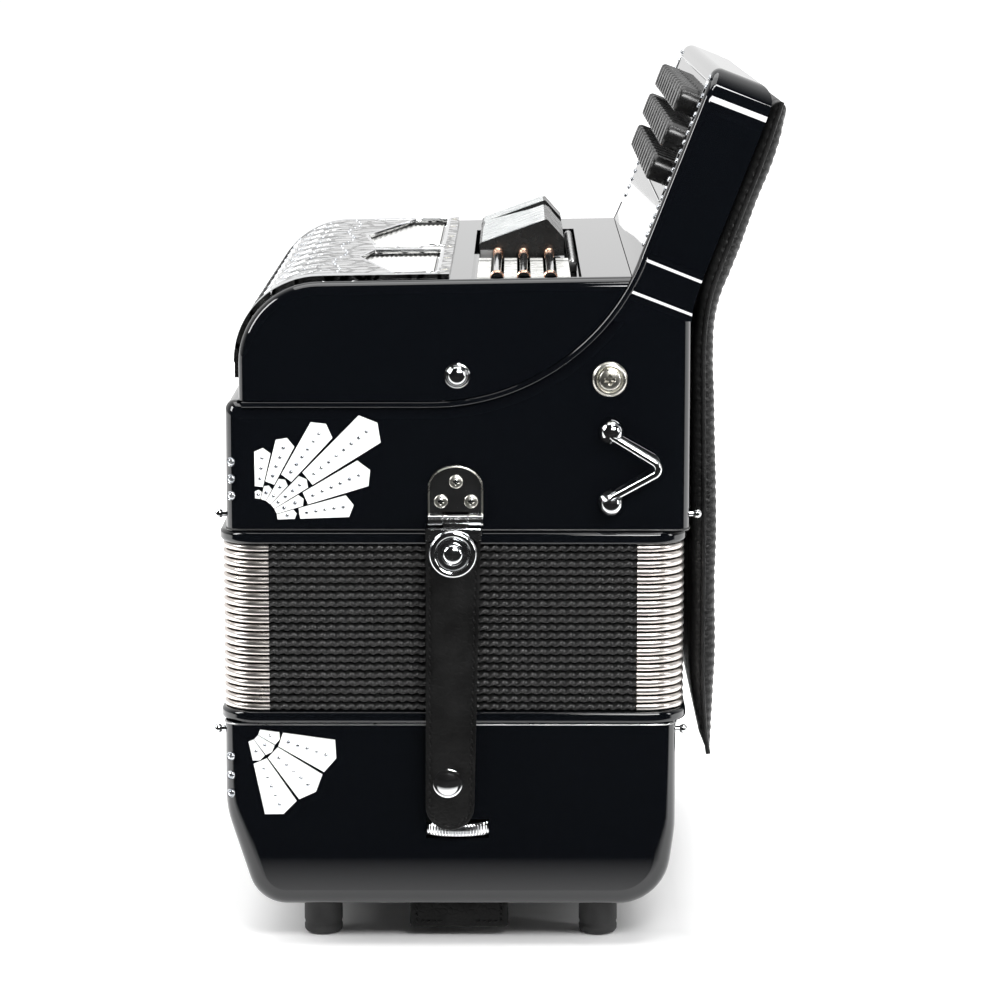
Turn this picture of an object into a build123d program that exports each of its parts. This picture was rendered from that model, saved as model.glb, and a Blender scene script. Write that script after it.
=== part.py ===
from build123d import *
import os
from math import atan2, cos, hypot, radians, sin, tan

# Three-row button accordion standing on its bass end.
# Axes: X from the grille (front) side to the player's side, Y along the button rows,
# Z from the feet up through bass end, bellows and treble end to the fingerboard tip.
# All pieces are drawn with X = 0 and Y = 0 at the bellows' centre and Z = 0 on the floor,
# and are moved at the end so that the origin is under the middle of the whole instrument.

# ---------------------------------------------------------------- driving dimensions (mm)
CASE_HALF_Y = 148.0        # half length of both wooden cases
WALL = 6.0                 # case wall
FRAME_HALF_X = 95.5        # bellows frames stand a little proud of the cases
FRAME_HALF_Y = 150.5
FRAME_CORNER_R = 16.0
BELLOWS_HALF_X = 94.5
BELLOWS_HALF_Y = 149.5
FOLD_DEPTH = 10.0
FOLDS = 21
EDGE_R = 7.0               # rounding of the cases' long edges
STONE_TURN = 40.0          # how far round the front corner the crystals sit, degrees
PIN_Y = 138.5              # end pins of both bellows frames

BASS_BOTTOM_Z = 17.5
BASS_TOP_Z = 95.0
BASS_LEFT_X = -93.6
BASS_RIGHT_X = 91.2
BELLOWS_LOW_Z = 100.0
BELLOWS_HIGH_Z = 169.0
TREBLE_LOW_Z = 174.2
TREBLE_LEFT_X = -92.3
TREBLE_RIGHT_X = 96.1
SEAM_Z = 227.3             # joint between treble case and grille cover
SEAM_SWEEP_R = 91.0        # sweep from the seam up into the fingerboard

BOARD_LEAN = 21.4          # fingerboard's angle from vertical, degrees
BOARD_BASE = (75.2, 284.1) # a point of the board's front face, X and Z
BOARD_LENGTH = 82.9
BOARD_THICK = 27.0
BOARD_HALF_Y = 138.0
BOARD_STEP_R = 9.0         # blend between the board's ends and the wider case
BOARD_CORNER_R = 18.0      # top corners of the board
BOARD_SPLIT_Z = 259.9      # where the fingerboard stands on the treble case

COVER_LEFT_X = -86.7
COVER_TOP_Z = 275.0        # height of the cover's crown at its left side
COVER_SLOPE = 0.0165
COVER_CORNER_R = 33.0
COVER_WALL = 3.0

BUTTON_PITCH = 20.0
BUTTON_R = 5.75
BUTTON_PROUD = 8.0
BUTTON_HOLE_GAP = 0.45
ROW_HEIGHTS = (35.0, 50.0, 65.0)
ROW_COUNTS = (11, 12, 11)
LEVER_AXLE = (80.0, 256.0)
AXLE_R = 2.0
RUNNING_GAP = 0.05
PALLET_X = (35.0, 0.0, -35.0)
LEVER_OFFSET_Y = (-2.0, 0.0, 2.0)
LEVER_THICK = 2.0
LEVER_WIDTH = 4.0
LEVER_HUB_R = 5.0
SOUNDBOARD_Z = 177.0
SOUNDBOARD_THICK = 5.0

REGISTER_COUNT = 5
REGISTER_PITCH = 26.0
REGISTER_START_Y = -50.0
REGISTER_AXLE = (13.4, 278.0)
REGISTER_LATCHED = 3       # index of the register that is pressed down
REGISTER_TILT = 5.0
WELL = (7.5, 52.0, -142.0, 86.0, 271.0)  # X low, X high, Y low, Y high, floor Z

BAIL_X = 64.0
BAIL_POST_Z = (215.7, 186.3)
BAIL_WIRE_R = 1.6
BAIL_POST_R = 5.0
BAIL_REACH = 22.2          # to the corner that the bail's nose is rounded from
BAIL_STANDOFF = 12.0       # degrees the resting bail stands off the case
BAIL_AXIS_Y = -151.8

HINGE_Y = -150.6           # bellows strap hinge
HINGE_Z = 179.3
HINGE_PIN_R = 1.2
KNUCKLE_R = 2.5
STRAP_INNER_Y = -153.1
STRAP_THICK = 2.5
SNAP = (-2.2, 71.5)
MESH_GAP = 0.3             # clearance between parts that move past each other

WHEEL = (1.7, -132.0, 48.0)  # X, Y and low Z of the strap adjuster wheel
WHEEL_R = 19.8
WHEEL_THICK = 5.0
SPINDLE_R = 3.0

BASS_ROW_X = (42.0, 58.0)
BASS_BUTTON_R = 4.5
BASS_BUTTON_COUNT = 6
BASS_LEVER_AXLE = (5.0, 52.0)
BASS_PALLET_X = (-22.0, -46.0)
BASS_LEVER_OFFSET_Y = (-2.2, 2.2)
BASS_SOUNDBOARD_Z = 87.0
AIR_BUTTON = (-40.0, -66.0)
HAND_STRAP_X = (-18.0, 22.0)
HAND_STRAP_THICK = 3.5
HAND_STRAP_LOW_Z = 6.4     # middle of the strap's sag
CLAMP_LOW_Z = 4.5
PAD_HALF_Y = 128.0
FOOT_PLACES = ((-55.0, -120.0), (60.0, -120.0), (-55.0, 120.0), (60.0, 120.0))
FOOT_R = 8.0

ALONG = (sin(radians(BOARD_LEAN)), cos(radians(BOARD_LEAN)))   # up the fingerboard, X and Z
INTO = (cos(radians(BOARD_LEAN)), -sin(radians(BOARD_LEAN)))   # into the fingerboard, X and Z
BOARD = Plane(
    origin=(BOARD_BASE[0], 0, BOARD_BASE[1]),
    x_dir=(0, -1, 0),
    z_dir=(-INTO[0], 0, -INTO[1]),
)

nodes = {}


# ---------------------------------------------------------------- helpers
def block(x0, x1, y0, y1, z0, z1):
    """Box between two opposite corners."""
    return Pos((x0 + x1) / 2, (y0 + y1) / 2, (z0 + z1) / 2) * Box(x1 - x0, y1 - y0, z1 - z0)


def outline(points, radii):
    """Closed face through the points, each corner rounded by its radius."""
    return make_face(FilletPolyline(*[Vector(*p) for p in points], radius=radii, close=True).edges())


def across(face, y0, y1):
    """Extrude an X-Z outline from y0 to y1."""
    return extrude(Plane.XZ.offset(-y1) * face, amount=y1 - y0)


def upward(face, z0, z1):
    """Extrude an X-Y outline from z0 to z1."""
    return extrude(Plane.XY.offset(z0) * face, amount=z1 - z0)


def lengthwise(face, x0, x1):
    """Extrude a Y-Z outline from x0 to x1."""
    return extrude(Plane.YZ.offset(x0) * face, amount=x1 - x0)


def rod_y(x, z, radius, y0, y1):
    """Round rod along Y."""
    return Pos(x, (y0 + y1) / 2, z) * Rot(90, 0, 0) * Cylinder(radius, y1 - y0)


def rod_z(x, y, radius, z0, z1):
    """Round rod along Z."""
    return Pos(x, y, (z0 + z1) / 2) * Cylinder(radius, z1 - z0)


def rod_x(y, z, radius, x0, x1):
    """Round rod along X."""
    return Pos((x0 + x1) / 2, y, z) * Rot(0, 90, 0) * Cylinder(radius, x1 - x0)


def domed_head(radius, height):
    """Domed disc head on the X-Y plane, pointing up."""
    crown = (radius * radius + height * height) / (2 * height)
    ball = Pos(0, 0, height - crown) * Sphere(crown)
    return ball & (Pos(0, 0, height / 2) * Cylinder(radius, height))


def near_face(shape, x, z, y=-CASE_HALF_Y):
    """Put a shape drawn on the X-Y plane on the near end, pointing out of it."""
    return Pos(x, y, z) * Rot(90, 0, 0) * shape


def both_ends(shapes):
    """The shapes and their mirror images at the far end."""
    shapes = list(shapes)
    return shapes + [mirror(shape, Plane.XZ) for shape in shapes]


def put(name, *shapes):
    """Keep a named piece as its separate solids."""
    nodes[name] = [solid for shape in shapes for solid in shape.solids()]


def on_board(y, along, into):
    """Point at a place on the fingerboard: Y, height along it and depth into it."""
    return (
        BOARD_BASE[0] + along * ALONG[0] + into * INTO[0],
        y,
        BOARD_BASE[1] + along * ALONG[1] + into * INTO[1],
    )


def rounded_ring(half_x, half_y, corner, inner_x, inner_y, inner_corner, z0, z1):
    """Flat rectangular ring with rounded corners."""
    ring = RectangleRounded(2 * half_x, 2 * half_y, corner)
    ring -= RectangleRounded(2 * inner_x, 2 * inner_y, inner_corner)
    return upward(ring, z0, z1)


# ---------------------------------------------------------------- bass end
def bass_case():
    """Hollow box with a rounded bottom, a wheel slot in its near end and an opening below."""
    corners = [
        (BASS_LEFT_X, BASS_TOP_Z),
        (BASS_LEFT_X, 58.0),
        (-80.5, BASS_BOTTOM_Z),
        (86.5, BASS_BOTTOM_Z),
        (BASS_RIGHT_X, 50.0),
        (BASS_RIGHT_X, BASS_TOP_Z),
    ]
    face = outline(corners, [0, 40, 16, 22, 60, 0])
    shell = across(face, -CASE_HALF_Y, CASE_HALF_Y)
    for end_y in (-CASE_HALF_Y, CASE_HALF_Y):
        rim = [
            e for e in shell.edges()
            if abs(e.center().Y - end_y) < 0.01 and e.center().Z < BASS_TOP_Z - 1
        ]
        shell = fillet(rim, EDGE_R)
    inside = CASE_HALF_Y - WALL
    hollow = across(offset(face, amount=-WALL), -inside, inside)
    left, right = BASS_LEFT_X + WALL, BASS_RIGHT_X - WALL
    hollow += block(left, right, -inside, inside, 70, BASS_TOP_Z + 1)
    shell -= hollow
    shell -= block(-62, 76, -108, 108, BASS_BOTTOM_Z - 1, BASS_BOTTOM_Z + 2)
    shell -= block(-56, 70, -102, 102, BASS_BOTTOM_Z, BASS_BOTTOM_Z + WALL + 1)
    x, y, z = WHEEL
    shell -= rod_z(x, y, WHEEL_R + 0.7, z - 1.5, z + WHEEL_THICK + 1.5)
    shell -= rod_z(x, y, SPINDLE_R + MESH_GAP, BASS_BOTTOM_Z - 1, BASS_BOTTOM_Z + WALL + 1)
    return shell


def bass_cover():
    """Plate over the bottom opening, pierced for buttons, air button and sound slots."""
    cover = block(-61.8, 75.8, -107.8, 107.8, BASS_BOTTOM_Z, BASS_BOTTOM_Z + 2)
    hole_z = (BASS_BOTTOM_Z - 1, BASS_BOTTOM_Z + 3)
    for x in BASS_ROW_X:
        for y in bass_button_places():
            cover -= rod_z(x, y, BASS_BUTTON_R + BUTTON_HOLE_GAP, *hole_z)
    cover -= rod_z(*AIR_BUTTON, 2.5, *hole_z)
    for y in range(-84, 85, 24):
        for x in (-10.0, 2.0, 14.0):
            cover -= block(x - 2, x + 2, y - 9, y + 9, *hole_z)
    return cover


def bass_button_places():
    return [BUTTON_PITCH * (i - (BASS_BUTTON_COUNT - 1) / 2) for i in range(BASS_BUTTON_COUNT)]


def feet():
    foot = Cylinder(FOOT_R, BASS_BOTTOM_Z)
    foot = chamfer(foot.edges().sort_by(Axis.Z)[0], 1.2)
    return [Pos(x, y, BASS_BOTTOM_Z / 2) * foot for x, y in FOOT_PLACES]


def hand_strap():
    low, high = HAND_STRAP_LOW_Z, BASS_BOTTOM_Z - HAND_STRAP_THICK / 2
    line = Polyline((-129, high), (-112, high)) + ThreePointArc((-112, high), (0, low), (112, high))
    line += Polyline((112, high), (129, high))
    return lengthwise(trace(line.edges(), HAND_STRAP_THICK), *HAND_STRAP_X)


def strap_clamps():
    """Leather-wrapped blocks that hold the ends of the hand strap."""
    top = BASS_BOTTOM_Z - HAND_STRAP_THICK
    clamps = []
    for y0, y1 in ((-131, -119), (119, 131)):
        wrapped = block(*HAND_STRAP_X, y0, y1, CLAMP_LOW_Z, top)
        clamps.append(fillet(wrapped.edges().group_by(Axis.Z)[0], 1.5))
    return clamps


def adjust_wheel():
    x, y, z = WHEEL
    disc = chamfer(Cylinder(WHEEL_R, WHEEL_THICK).edges(), 0.8)
    wheel = Pos(x, y, z + WHEEL_THICK / 2) * disc
    return wheel + rod_z(x, y, SPINDLE_R, BASS_BOTTOM_Z + 1, 68.0)


def wheel_bracket():
    x, y, z = WHEEL
    low = z + WHEEL_THICK + 5
    plate = block(x - 12, x + 12, WALL - CASE_HALF_Y, y + 12, low, low + 4)
    return plate - rod_z(x, y, SPINDLE_R + RUNNING_GAP, low - 1, low + 5)


def bass_soundboard():
    """Board with one air hole below each bass pallet."""
    top = BASS_SOUNDBOARD_Z + 6
    board = block(BASS_LEFT_X + 6.4, BASS_RIGHT_X - 6.4, -141.6, 141.6, BASS_SOUNDBOARD_Z, top)
    for x in BASS_PALLET_X:
        for y in bass_button_places():
            board -= block(x - 4, x + 4, y - 5, y + 5, BASS_SOUNDBOARD_Z - 1, top + 1)
    return board


def bass_reed_block():
    blocks = []
    for x in BASS_PALLET_X:
        body = block(x - 8, x + 8, -66, 66, 93, 124)
        for y in bass_button_places():
            body -= block(x - 4, x + 4, y - 5, y + 5, 92, 116)
        blocks.append(body)
    return blocks


def reed_plates(block_x, half, z0, z1, places):
    """Thin reed plates on both cheeks of each reed block."""
    plates = []
    for x in block_x:
        for side in (-1, 1):
            inner = x + side * half
            outer = inner + side * 1.2
            for y in places:
                plates.append(block(min(inner, outer), max(inner, outer), y - 6, y + 6, z0, z1))
    return plates


def bass_buttons(x):
    top = 24.5
    buttons = []
    for y in bass_button_places():
        button = Cylinder(BASS_BUTTON_R, top - 10.5)
        button = fillet(button.edges().sort_by(Axis.Z)[0], 1.5)
        buttons.append(Pos(x, y, (top + 10.5) / 2) * button)
    return buttons


def air_button():
    x, y = AIR_BUTTON
    cap = fillet(Cylinder(6, 4).edges().sort_by(Axis.Z)[0], 1.5)
    pad = rod_z(x, y, 9, BASS_BOTTOM_Z + 2 + MESH_GAP, BASS_BOTTOM_Z + 6.5)
    return Pos(x, y, 11) * cap + rod_z(x, y, 2, 12, 21) + pad


def frame_ring(z0, z1):
    """Bellows frame: a flat ring with softly rounded rims."""
    ring = rounded_ring(FRAME_HALF_X, FRAME_HALF_Y, FRAME_CORNER_R, 83, 138, 8, z0, z1)
    tall = [e for e in ring.edges() if max(abs(e.center().X) - 80, abs(e.center().Y) - 135) > 6]
    rims = [e for e in tall if e.bounding_box().size.Z < 0.1]
    return fillet(rims, 1.8)


def pins(places):
    """Ball-headed pins: each place is (side sign, case face X, Y, Z)."""
    heads = []
    for side, x, y, z in places:
        pin = Pos(0, 0, 1.2) * Cylinder(1.2, 2.4) + Pos(0, 0, 3.2) * Sphere(1.9)
        heads.append(Pos(x, y, z) * Rot(0, 90 * side, 0) * pin)
    return heads


def blade(centre, a0, a1, r0, r1):
    """One inlay blade: a sector of a ring on the near end, with a pointed tip."""
    middle = (a0 + a1) / 2
    spots = [(a0, r0), (a0, r1), (middle, r1 * 1.06), (a1, r1), (a1, r0)]
    points = [
        (centre[0] + r * cos(radians(a)), centre[1] + r * sin(radians(a))) for a, r in spots
    ]
    return across(outline(points, [0] * 5), -CASE_HALF_Y - 0.8, -CASE_HALF_Y)


def edge_stones(case_x, heights):
    """Crystals set part of the way round a case's rounded front corner."""
    centre_x, centre_y = case_x + EDGE_R, EDGE_R - CASE_HALF_Y
    reach = EDGE_R + 0.05
    x = centre_x - reach * sin(radians(STONE_TURN))
    y = centre_y - reach * cos(radians(STONE_TURN))
    stone = Rot(0, 0, -STONE_TURN) * Rot(90, 0, 0) * domed_head(1.6, 1.0)
    return [Pos(x, y, z) * stone for z in heights]


def bass_ornament():
    centre = (-85.0, 93.0)
    bands = ((6.0, 14.0), (15.5, 37.0))
    blades = [
        blade(centre, -78 + 24 * i, -56 + 24 * i, r0, r1) for i in range(3) for r0, r1 in bands
    ]
    return both_ends(blades)


def treble_ornament():
    centre = (-80.0, 179.0)
    reach = (38.0, 48.0, 60.0, 46.0, 34.0, 28.0)
    blades = []
    for i, length in enumerate(reach):
        a0 = 2 + 15 * i
        blades.append(blade(centre, a0, a0 + 13.5, 9, length * 0.42))
        blades.append(blade(centre, a0, a0 + 13.5, length * 0.42 + 2.2, length))
    return both_ends(blades)


# ---------------------------------------------------------------- bellows
def pleat_line(gap):
    """Zigzag of the folds as depth below the bellows' outer face and height."""
    step = (BELLOWS_HIGH_Z - BELLOWS_LOW_Z) / FOLDS
    crest = 0.9
    points = []
    for fold in range(FOLDS):
        low = BELLOWS_LOW_Z + fold * step
        points += [(gap + 2.4, low), (gap, low + step / 2 - crest / 2), (gap, low + step / 2 + crest / 2)]
    points.append((gap + 2.4, BELLOWS_HIGH_Z))
    return points


def bellows():
    front = pleat_line(0.8)
    ring = [(FOLD_DEPTH, BELLOWS_HIGH_Z), (FOLD_DEPTH, BELLOWS_LOW_Z)]
    wall = make_face(Polyline(*[Vector(-d, z) for d, z in front + ring], close=True).edges())
    return sweep_around(wall)


def sweep_around(section):
    """Carry a wall section round the bellows: straight sides extruded, corners revolved."""
    r = FRAME_CORNER_R
    side_x = 2 * (BELLOWS_HALF_X - r)
    side_y = 2 * (BELLOWS_HALF_Y - r)
    right = extrude(Plane.XZ.offset(side_y / 2) * Pos(BELLOWS_HALF_X, 0) * section, amount=-side_y)
    turned = Rot(0, 0, 90) * extrude(
        Plane.XZ.offset(side_x / 2) * Pos(BELLOWS_HALF_Y, 0) * section, amount=-side_x
    )
    corner = revolve(Plane.XZ * Pos(r, 0) * section, Axis.Z, 90)
    placed = [Pos(side_x / 2, side_y / 2, 0) * corner]
    placed.append(mirror(placed[0], Plane.YZ))
    placed += [mirror(piece, Plane.XZ) for piece in placed[:2]]
    whole = right + mirror(right, Plane.YZ) + turned + mirror(turned, Plane.XZ)
    for piece in placed:
        whole += piece
    return whole


def bellows_corners():
    """Bent metal guards, one for each fold at each corner."""
    step = (BELLOWS_HIGH_Z - BELLOWS_LOW_Z) / FOLDS
    r = FRAME_CORNER_R
    guards = []
    for fold in range(FOLDS):
        middle = BELLOWS_LOW_Z + (fold + 0.5) * step
        strip = Pos(r - 0.35, middle) * Rectangle(0.7, step * 0.6)
        bend = revolve(Plane.XZ * strip, Axis.Z, 90)
        for sx in (1, -1):
            for sy in (1, -1):
                turned = bend
                if sx < 0:
                    turned = mirror(turned, Plane.YZ)
                if sy < 0:
                    turned = mirror(turned, Plane.XZ)
                guards.append(Pos(sx * (BELLOWS_HALF_X - r), sy * (BELLOWS_HALF_Y - r), 0) * turned)
    return guards


# ---------------------------------------------------------------- treble end
def treble_outline():
    """Case and fingerboard together, as seen from the near end."""
    front_x = BOARD_BASE[0] - (BOARD_BASE[1] - SEAM_Z) * tan(radians(BOARD_LEAN))
    tip = on_board(0, BOARD_LENGTH, 0)
    back_tip = on_board(0, BOARD_LENGTH, BOARD_THICK)
    bend_z = back_tip[2] - (back_tip[0] - TREBLE_RIGHT_X) / tan(radians(BOARD_LEAN))
    corners = [
        (TREBLE_LEFT_X, TREBLE_LOW_Z),
        (TREBLE_LEFT_X, SEAM_Z),
        (front_x, SEAM_Z),
        (tip[0], tip[2]),
        (back_tip[0], back_tip[2]),
        (TREBLE_RIGHT_X, bend_z),
        (TREBLE_RIGHT_X, TREBLE_LOW_Z),
    ]
    return outline(corners, [0, 4, SEAM_SWEEP_R, 4, 7, 25, 0])


def treble_case():
    """Open box under the grille cover, as far up as the fingerboard's foot."""
    inside = CASE_HALF_Y - WALL
    below = Pos(0, (TREBLE_LOW_Z + BOARD_SPLIT_Z) / 2) * Rectangle(300, BOARD_SPLIT_Z - TREBLE_LOW_Z)
    shell = across(treble_outline() & below, -CASE_HALF_Y, CASE_HALF_Y)
    uprights = [e for e in shell.edges().filter_by(Axis.Z) if abs(e.center().Y) > inside]
    shell = fillet([e for e in uprights if e.length > 20], EDGE_R)
    left, right = TREBLE_LEFT_X + WALL, TREBLE_RIGHT_X - WALL
    shell -= block(left, right, -inside, inside, TREBLE_LOW_Z - 1, BOARD_SPLIT_Z + 1)
    return shell


def crown(out):
    """Region under the cover's crown, grown outward by a distance."""
    left = COVER_LEFT_X - out
    top = COVER_TOP_Z + out
    corners = [(left, 200), (left, top), (100, top + COVER_SLOPE * (100 - left)), (100, 200)]
    return outline(corners, [0, COVER_CORNER_R + out, 0, 0])


def crown_band(outer, inner, x0, x1, z0, y0, y1):
    """Curved sheet that follows the crown between two offsets."""
    window = Pos((x0 + x1) / 2, z0 + 100) * Rectangle(x1 - x0, 200)
    return across((crown(outer) - crown(inner)) & window, y0, y1)


def grille_cover():
    """Curved cover with a window for the grille and a sunk well for the registers."""
    taken = offset(treble_outline(), amount=0.25)
    right_limit = Pos(BOARD_BASE[0] - 100, 260) * Rectangle(200, 200)
    face = ((crown(0) - taken) & right_limit).faces().sort_by(SortBy.AREA)[-1]
    shell = across(face, -CASE_HALF_Y, CASE_HALF_Y)
    for sign in (-1, 1):
        rim = [
            e for e in shell.edges()
            if abs(e.center().Y - sign * CASE_HALF_Y) < 0.01 and is_crown_edge(e)
        ]
        shell = fillet(rim, 5.0)
    inside = CASE_HALF_Y - 4
    hollow = crown(-COVER_WALL) & (Pos(-14, 260) * Rectangle(140, 200))
    shell -= across(hollow, -inside, inside)
    shell -= crown_band(2, -5, -80, -8, 240, -134, 134)
    x0, x1, y0, y1, floor = WELL
    tray = block(x0 - 2, x1 + 2, y0 - 2, y1 + 2, floor - 2.5, 274.5)
    shell += tray
    return shell - block(x0, x1, y0, y1, floor, 290)


def is_crown_edge(edge):
    """True for the left side and crown of the cover, not for its seam."""
    middle = edge.position_at(0.5)
    on_side = abs(middle.X - COVER_LEFT_X) < 0.1
    top = COVER_TOP_Z + COVER_SLOPE * (middle.X - COVER_LEFT_X)
    centre_x = COVER_LEFT_X + COVER_CORNER_R
    centre_z = COVER_TOP_Z - COVER_CORNER_R
    in_corner = abs(hypot(middle.X - centre_x, middle.Z - centre_z) - COVER_CORNER_R) < 0.6
    return on_side or abs(middle.Z - top) < 0.1 or (in_corner and middle.Z > centre_z)


def grille():
    """Pierced plate: two windows along the crown and ten leaves down the left side."""
    plate = crown_band(1.8, 0.1, -89, -1.5, 236, -139, 139)
    for points in (
        [(-6, -130), (-24, -133), (-41, -58), (-36, -26), (-6, -26)],
        [(-6, -7), (-36, -7), (-42, 48), (-22, 133), (-6, 133)],
    ):
        plate -= upward(outline(points, [2, 4, 5, 3, 2]), 262, 290)
    for i in range(10):
        y = -112 + 25 * i
        leaf = [(y - 8, 243), (y, 240), (y + 8, 243), (y + 5, 262), (y, 266), (y - 5, 262)]
        plate -= lengthwise(outline(leaf, [2, 2, 2, 2, 1.5, 2]), -100, -66)
    return plate


def levers(axle, points, places, pallet_at, pallet_size):
    """One flat lever with its pallet for each button, all turning on the same axle."""
    strip = trace(Polyline(*[Vector(*p) for p in points]).edges(), LEVER_WIDTH)
    strip += Pos(*axle) * Circle(LEVER_HUB_R)
    strip -= Pos(*axle) * Circle(AXLE_R + RUNNING_GAP)
    px, pz = pallet_at
    wide, long, high = pallet_size
    made = []
    for y in places:
        arm = across(strip, y - LEVER_THICK / 2, y + LEVER_THICK / 2)
        pallet = block(px - wide / 2, px + wide / 2, y - long / 2, y + long / 2, pz, pz + high)
        made.append(arm + pallet)
    return made


def row_places(row):
    count = ROW_COUNTS[row]
    return [BUTTON_PITCH * (i - (count - 1) / 2) for i in range(count)]


def treble_levers(row):
    foot = on_board(0, ROW_HEIGHTS[row], 8.0)
    elbow = on_board(0, ROW_HEIGHTS[row] - 7.0, 8.0 if row < 2 else 15.0)
    px = PALLET_X[row]
    top = SOUNDBOARD_Z + SOUNDBOARD_THICK + 0.2
    points = [(foot[0], foot[2]), (elbow[0], elbow[2]), LEVER_AXLE, (px + 12, top + 26), (px, top + 4)]
    places = [y + LEVER_OFFSET_Y[row] for y in row_places(row)]
    return levers(LEVER_AXLE, points, places, (px, top), (20, 15, 6))


def bass_levers(row):
    px = BASS_PALLET_X[row]
    tail = (BASS_ROW_X[row], 27.8)
    points = [tail, (BASS_LEVER_AXLE[0] + 12, 44), BASS_LEVER_AXLE, (px, 82)]
    pallet_low = BASS_SOUNDBOARD_Z - 0.2 - 5
    places = [y + BASS_LEVER_OFFSET_Y[row] for y in bass_button_places()]
    return levers(BASS_LEVER_AXLE, points, places, (px, pallet_low), (15, 14, 5))


def axle_with_brackets(axle, half, foot_z, width):
    """Fixed axle held by an upright bracket at each end."""
    x, z = axle
    piece = rod_y(x, z, AXLE_R, -half, half)
    for sign in (-1, 1):
        y0, y1 = sorted((sign * (half - 5), sign * half))
        low, high = sorted((foot_z, z + (3.5 if foot_z < z else -5)))
        piece += block(x - width / 2, x + width / 2, y0, y1, low, high)
    return piece


def treble_soundboard():
    """Board with one air hole below each treble pallet."""
    top = SOUNDBOARD_Z + SOUNDBOARD_THICK
    board = block(TREBLE_LEFT_X + WALL, TREBLE_RIGHT_X - WALL, -141.8, 141.8, SOUNDBOARD_Z, top)
    for row, x in enumerate(PALLET_X):
        for y in row_places(row):
            board -= block(x - 5, x + 5, y - 5, y + 5, SOUNDBOARD_Z - 1, top + 1)
    return board


def treble_reed_blocks():
    blocks = []
    for row, x in enumerate(PALLET_X):
        body = block(x - 9, x + 9, -122, 122, 140, SOUNDBOARD_Z)
        for y in row_places(row):
            body -= block(x - 5, x + 5, y - 5, y + 5, 148, SOUNDBOARD_Z + 1)
        blocks.append(body)
    return blocks


def fingerboard():
    """Leaning board, narrower than the case, hollowed behind its button plate."""
    above = Pos(0, BOARD_SPLIT_Z + 100) * Rectangle(300, 200)
    body = across(treble_outline() & above, -CASE_HALF_Y, CASE_HALF_Y)
    half, step = CASE_HALF_Y, CASE_HALF_Y - BOARD_HALF_Y
    corners = [
        (-half, -60), (half, -60), (half, -13), (half - step, 1), (half - step, BOARD_LENGTH),
        (step - half, BOARD_LENGTH), (step - half, 1), (-half, -13),
    ]
    front = outline(corners, [0, 0] + [BOARD_STEP_R] * 2 + [BOARD_CORNER_R] * 2 + [BOARD_STEP_R] * 2)
    body &= extrude(BOARD.offset(-60) * front, amount=90)
    body = fillet([e for e in body.edges() if is_front_rim(e)], 3.0)
    cavity = extrude(BOARD.offset(-22) * Pos(0, 26) * Rectangle(252, 100), amount=19.5)
    cavity &= block(0, TREBLE_RIGHT_X - WALL + 40, -126, 126, BOARD_SPLIT_Z - 1, 400)
    body -= cavity
    body -= block(60, TREBLE_RIGHT_X - WALL, -126, 126, BOARD_SPLIT_Z - 1, BOARD_SPLIT_Z + 10)
    return body - fingerboard_blank(0.0)


def is_front_rim(edge):
    """True for the edges where the board's front face meets its ends."""
    middle = edge.position_at(0.5)
    depth = (middle.X - BOARD_BASE[0]) * INTO[0] + (middle.Z - BOARD_BASE[1]) * INTO[1]
    return depth < 12 and abs(middle.Y) > 129 and middle.Z > BOARD_SPLIT_Z + 0.5


def fingerboard_blank(shrink):
    long, tall = 252 - 2 * shrink, 52 - 2 * shrink
    plate = extrude(BOARD.offset(-3) * Pos(0, 50) * RectangleRounded(long, tall, 4), amount=3)
    return plate


def fingerboard_plate():
    plate = fingerboard_blank(0.1)
    for row, height in enumerate(ROW_HEIGHTS):
        for y in row_places(row):
            plate -= BOARD * Pos(y, height, -2) * Cylinder(BUTTON_R + BUTTON_HOLE_GAP, 10)
    return plate


def treble_buttons(row):
    length = BUTTON_PROUD + 5.0
    cap = fillet(Cylinder(BUTTON_R, length).edges().sort_by(Axis.Z)[-1], 1.4)
    middle = BUTTON_PROUD - length / 2
    return [BOARD * Pos(y, ROW_HEIGHTS[row], middle) * cap for y in row_places(row)]


def register_paddle(index):
    low = [(9.9, 274.4), (9.9, 282.6), (38.7, 293.0), (45.9, 285.0), (45.9, 277.4)]
    face = outline(low, [1.5, 1.0, 0.8, 1.0, 1.0])
    y0 = REGISTER_START_Y + index * REGISTER_PITCH
    paddle = across(face, y0 + MESH_GAP, y0 + REGISTER_PITCH - MESH_GAP)
    x, z = REGISTER_AXLE
    paddle -= rod_y(x, z, 1.5 + RUNNING_GAP, y0 - 1, y0 + REGISTER_PITCH + 1)
    if index == REGISTER_LATCHED:
        paddle = Pos(x, 0, z) * Rot(0, REGISTER_TILT, 0) * Pos(-x, 0, -z) * paddle
    return paddle


def register_axle():
    x, z = REGISTER_AXLE
    y0 = REGISTER_START_Y - 3
    y1 = REGISTER_START_Y + REGISTER_COUNT * REGISTER_PITCH + 3
    piece = rod_y(x, z, 1.5, y0, y1)
    for end in (y0, y1):
        piece += block(x - 3, x + 3, end - 1.5, end + 1.5, WELL[4], z + 2)
    return piece


def register_comb():
    return [block(x - 2.65, x + 2.65, -141.8, -61, WELL[4], 277.4) for x in (12.5, 23.3, 34.1, 44.9)]


def register_rods():
    rods = []
    for x in (17.9, 28.7, 39.5):
        rod = Cylinder(1.65, 76) + Pos(0, 0, 42) * Cylinder(1.2, 8) + Pos(0, 0, 46) * Sphere(2.2)
        rod += Pos(0, 0, -35.5) * Cylinder(2.5, 5)
        rods.append(Pos(x, -101, 277.6) * Rot(-88.2, 0, 0) * rod)
    return rods


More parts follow.
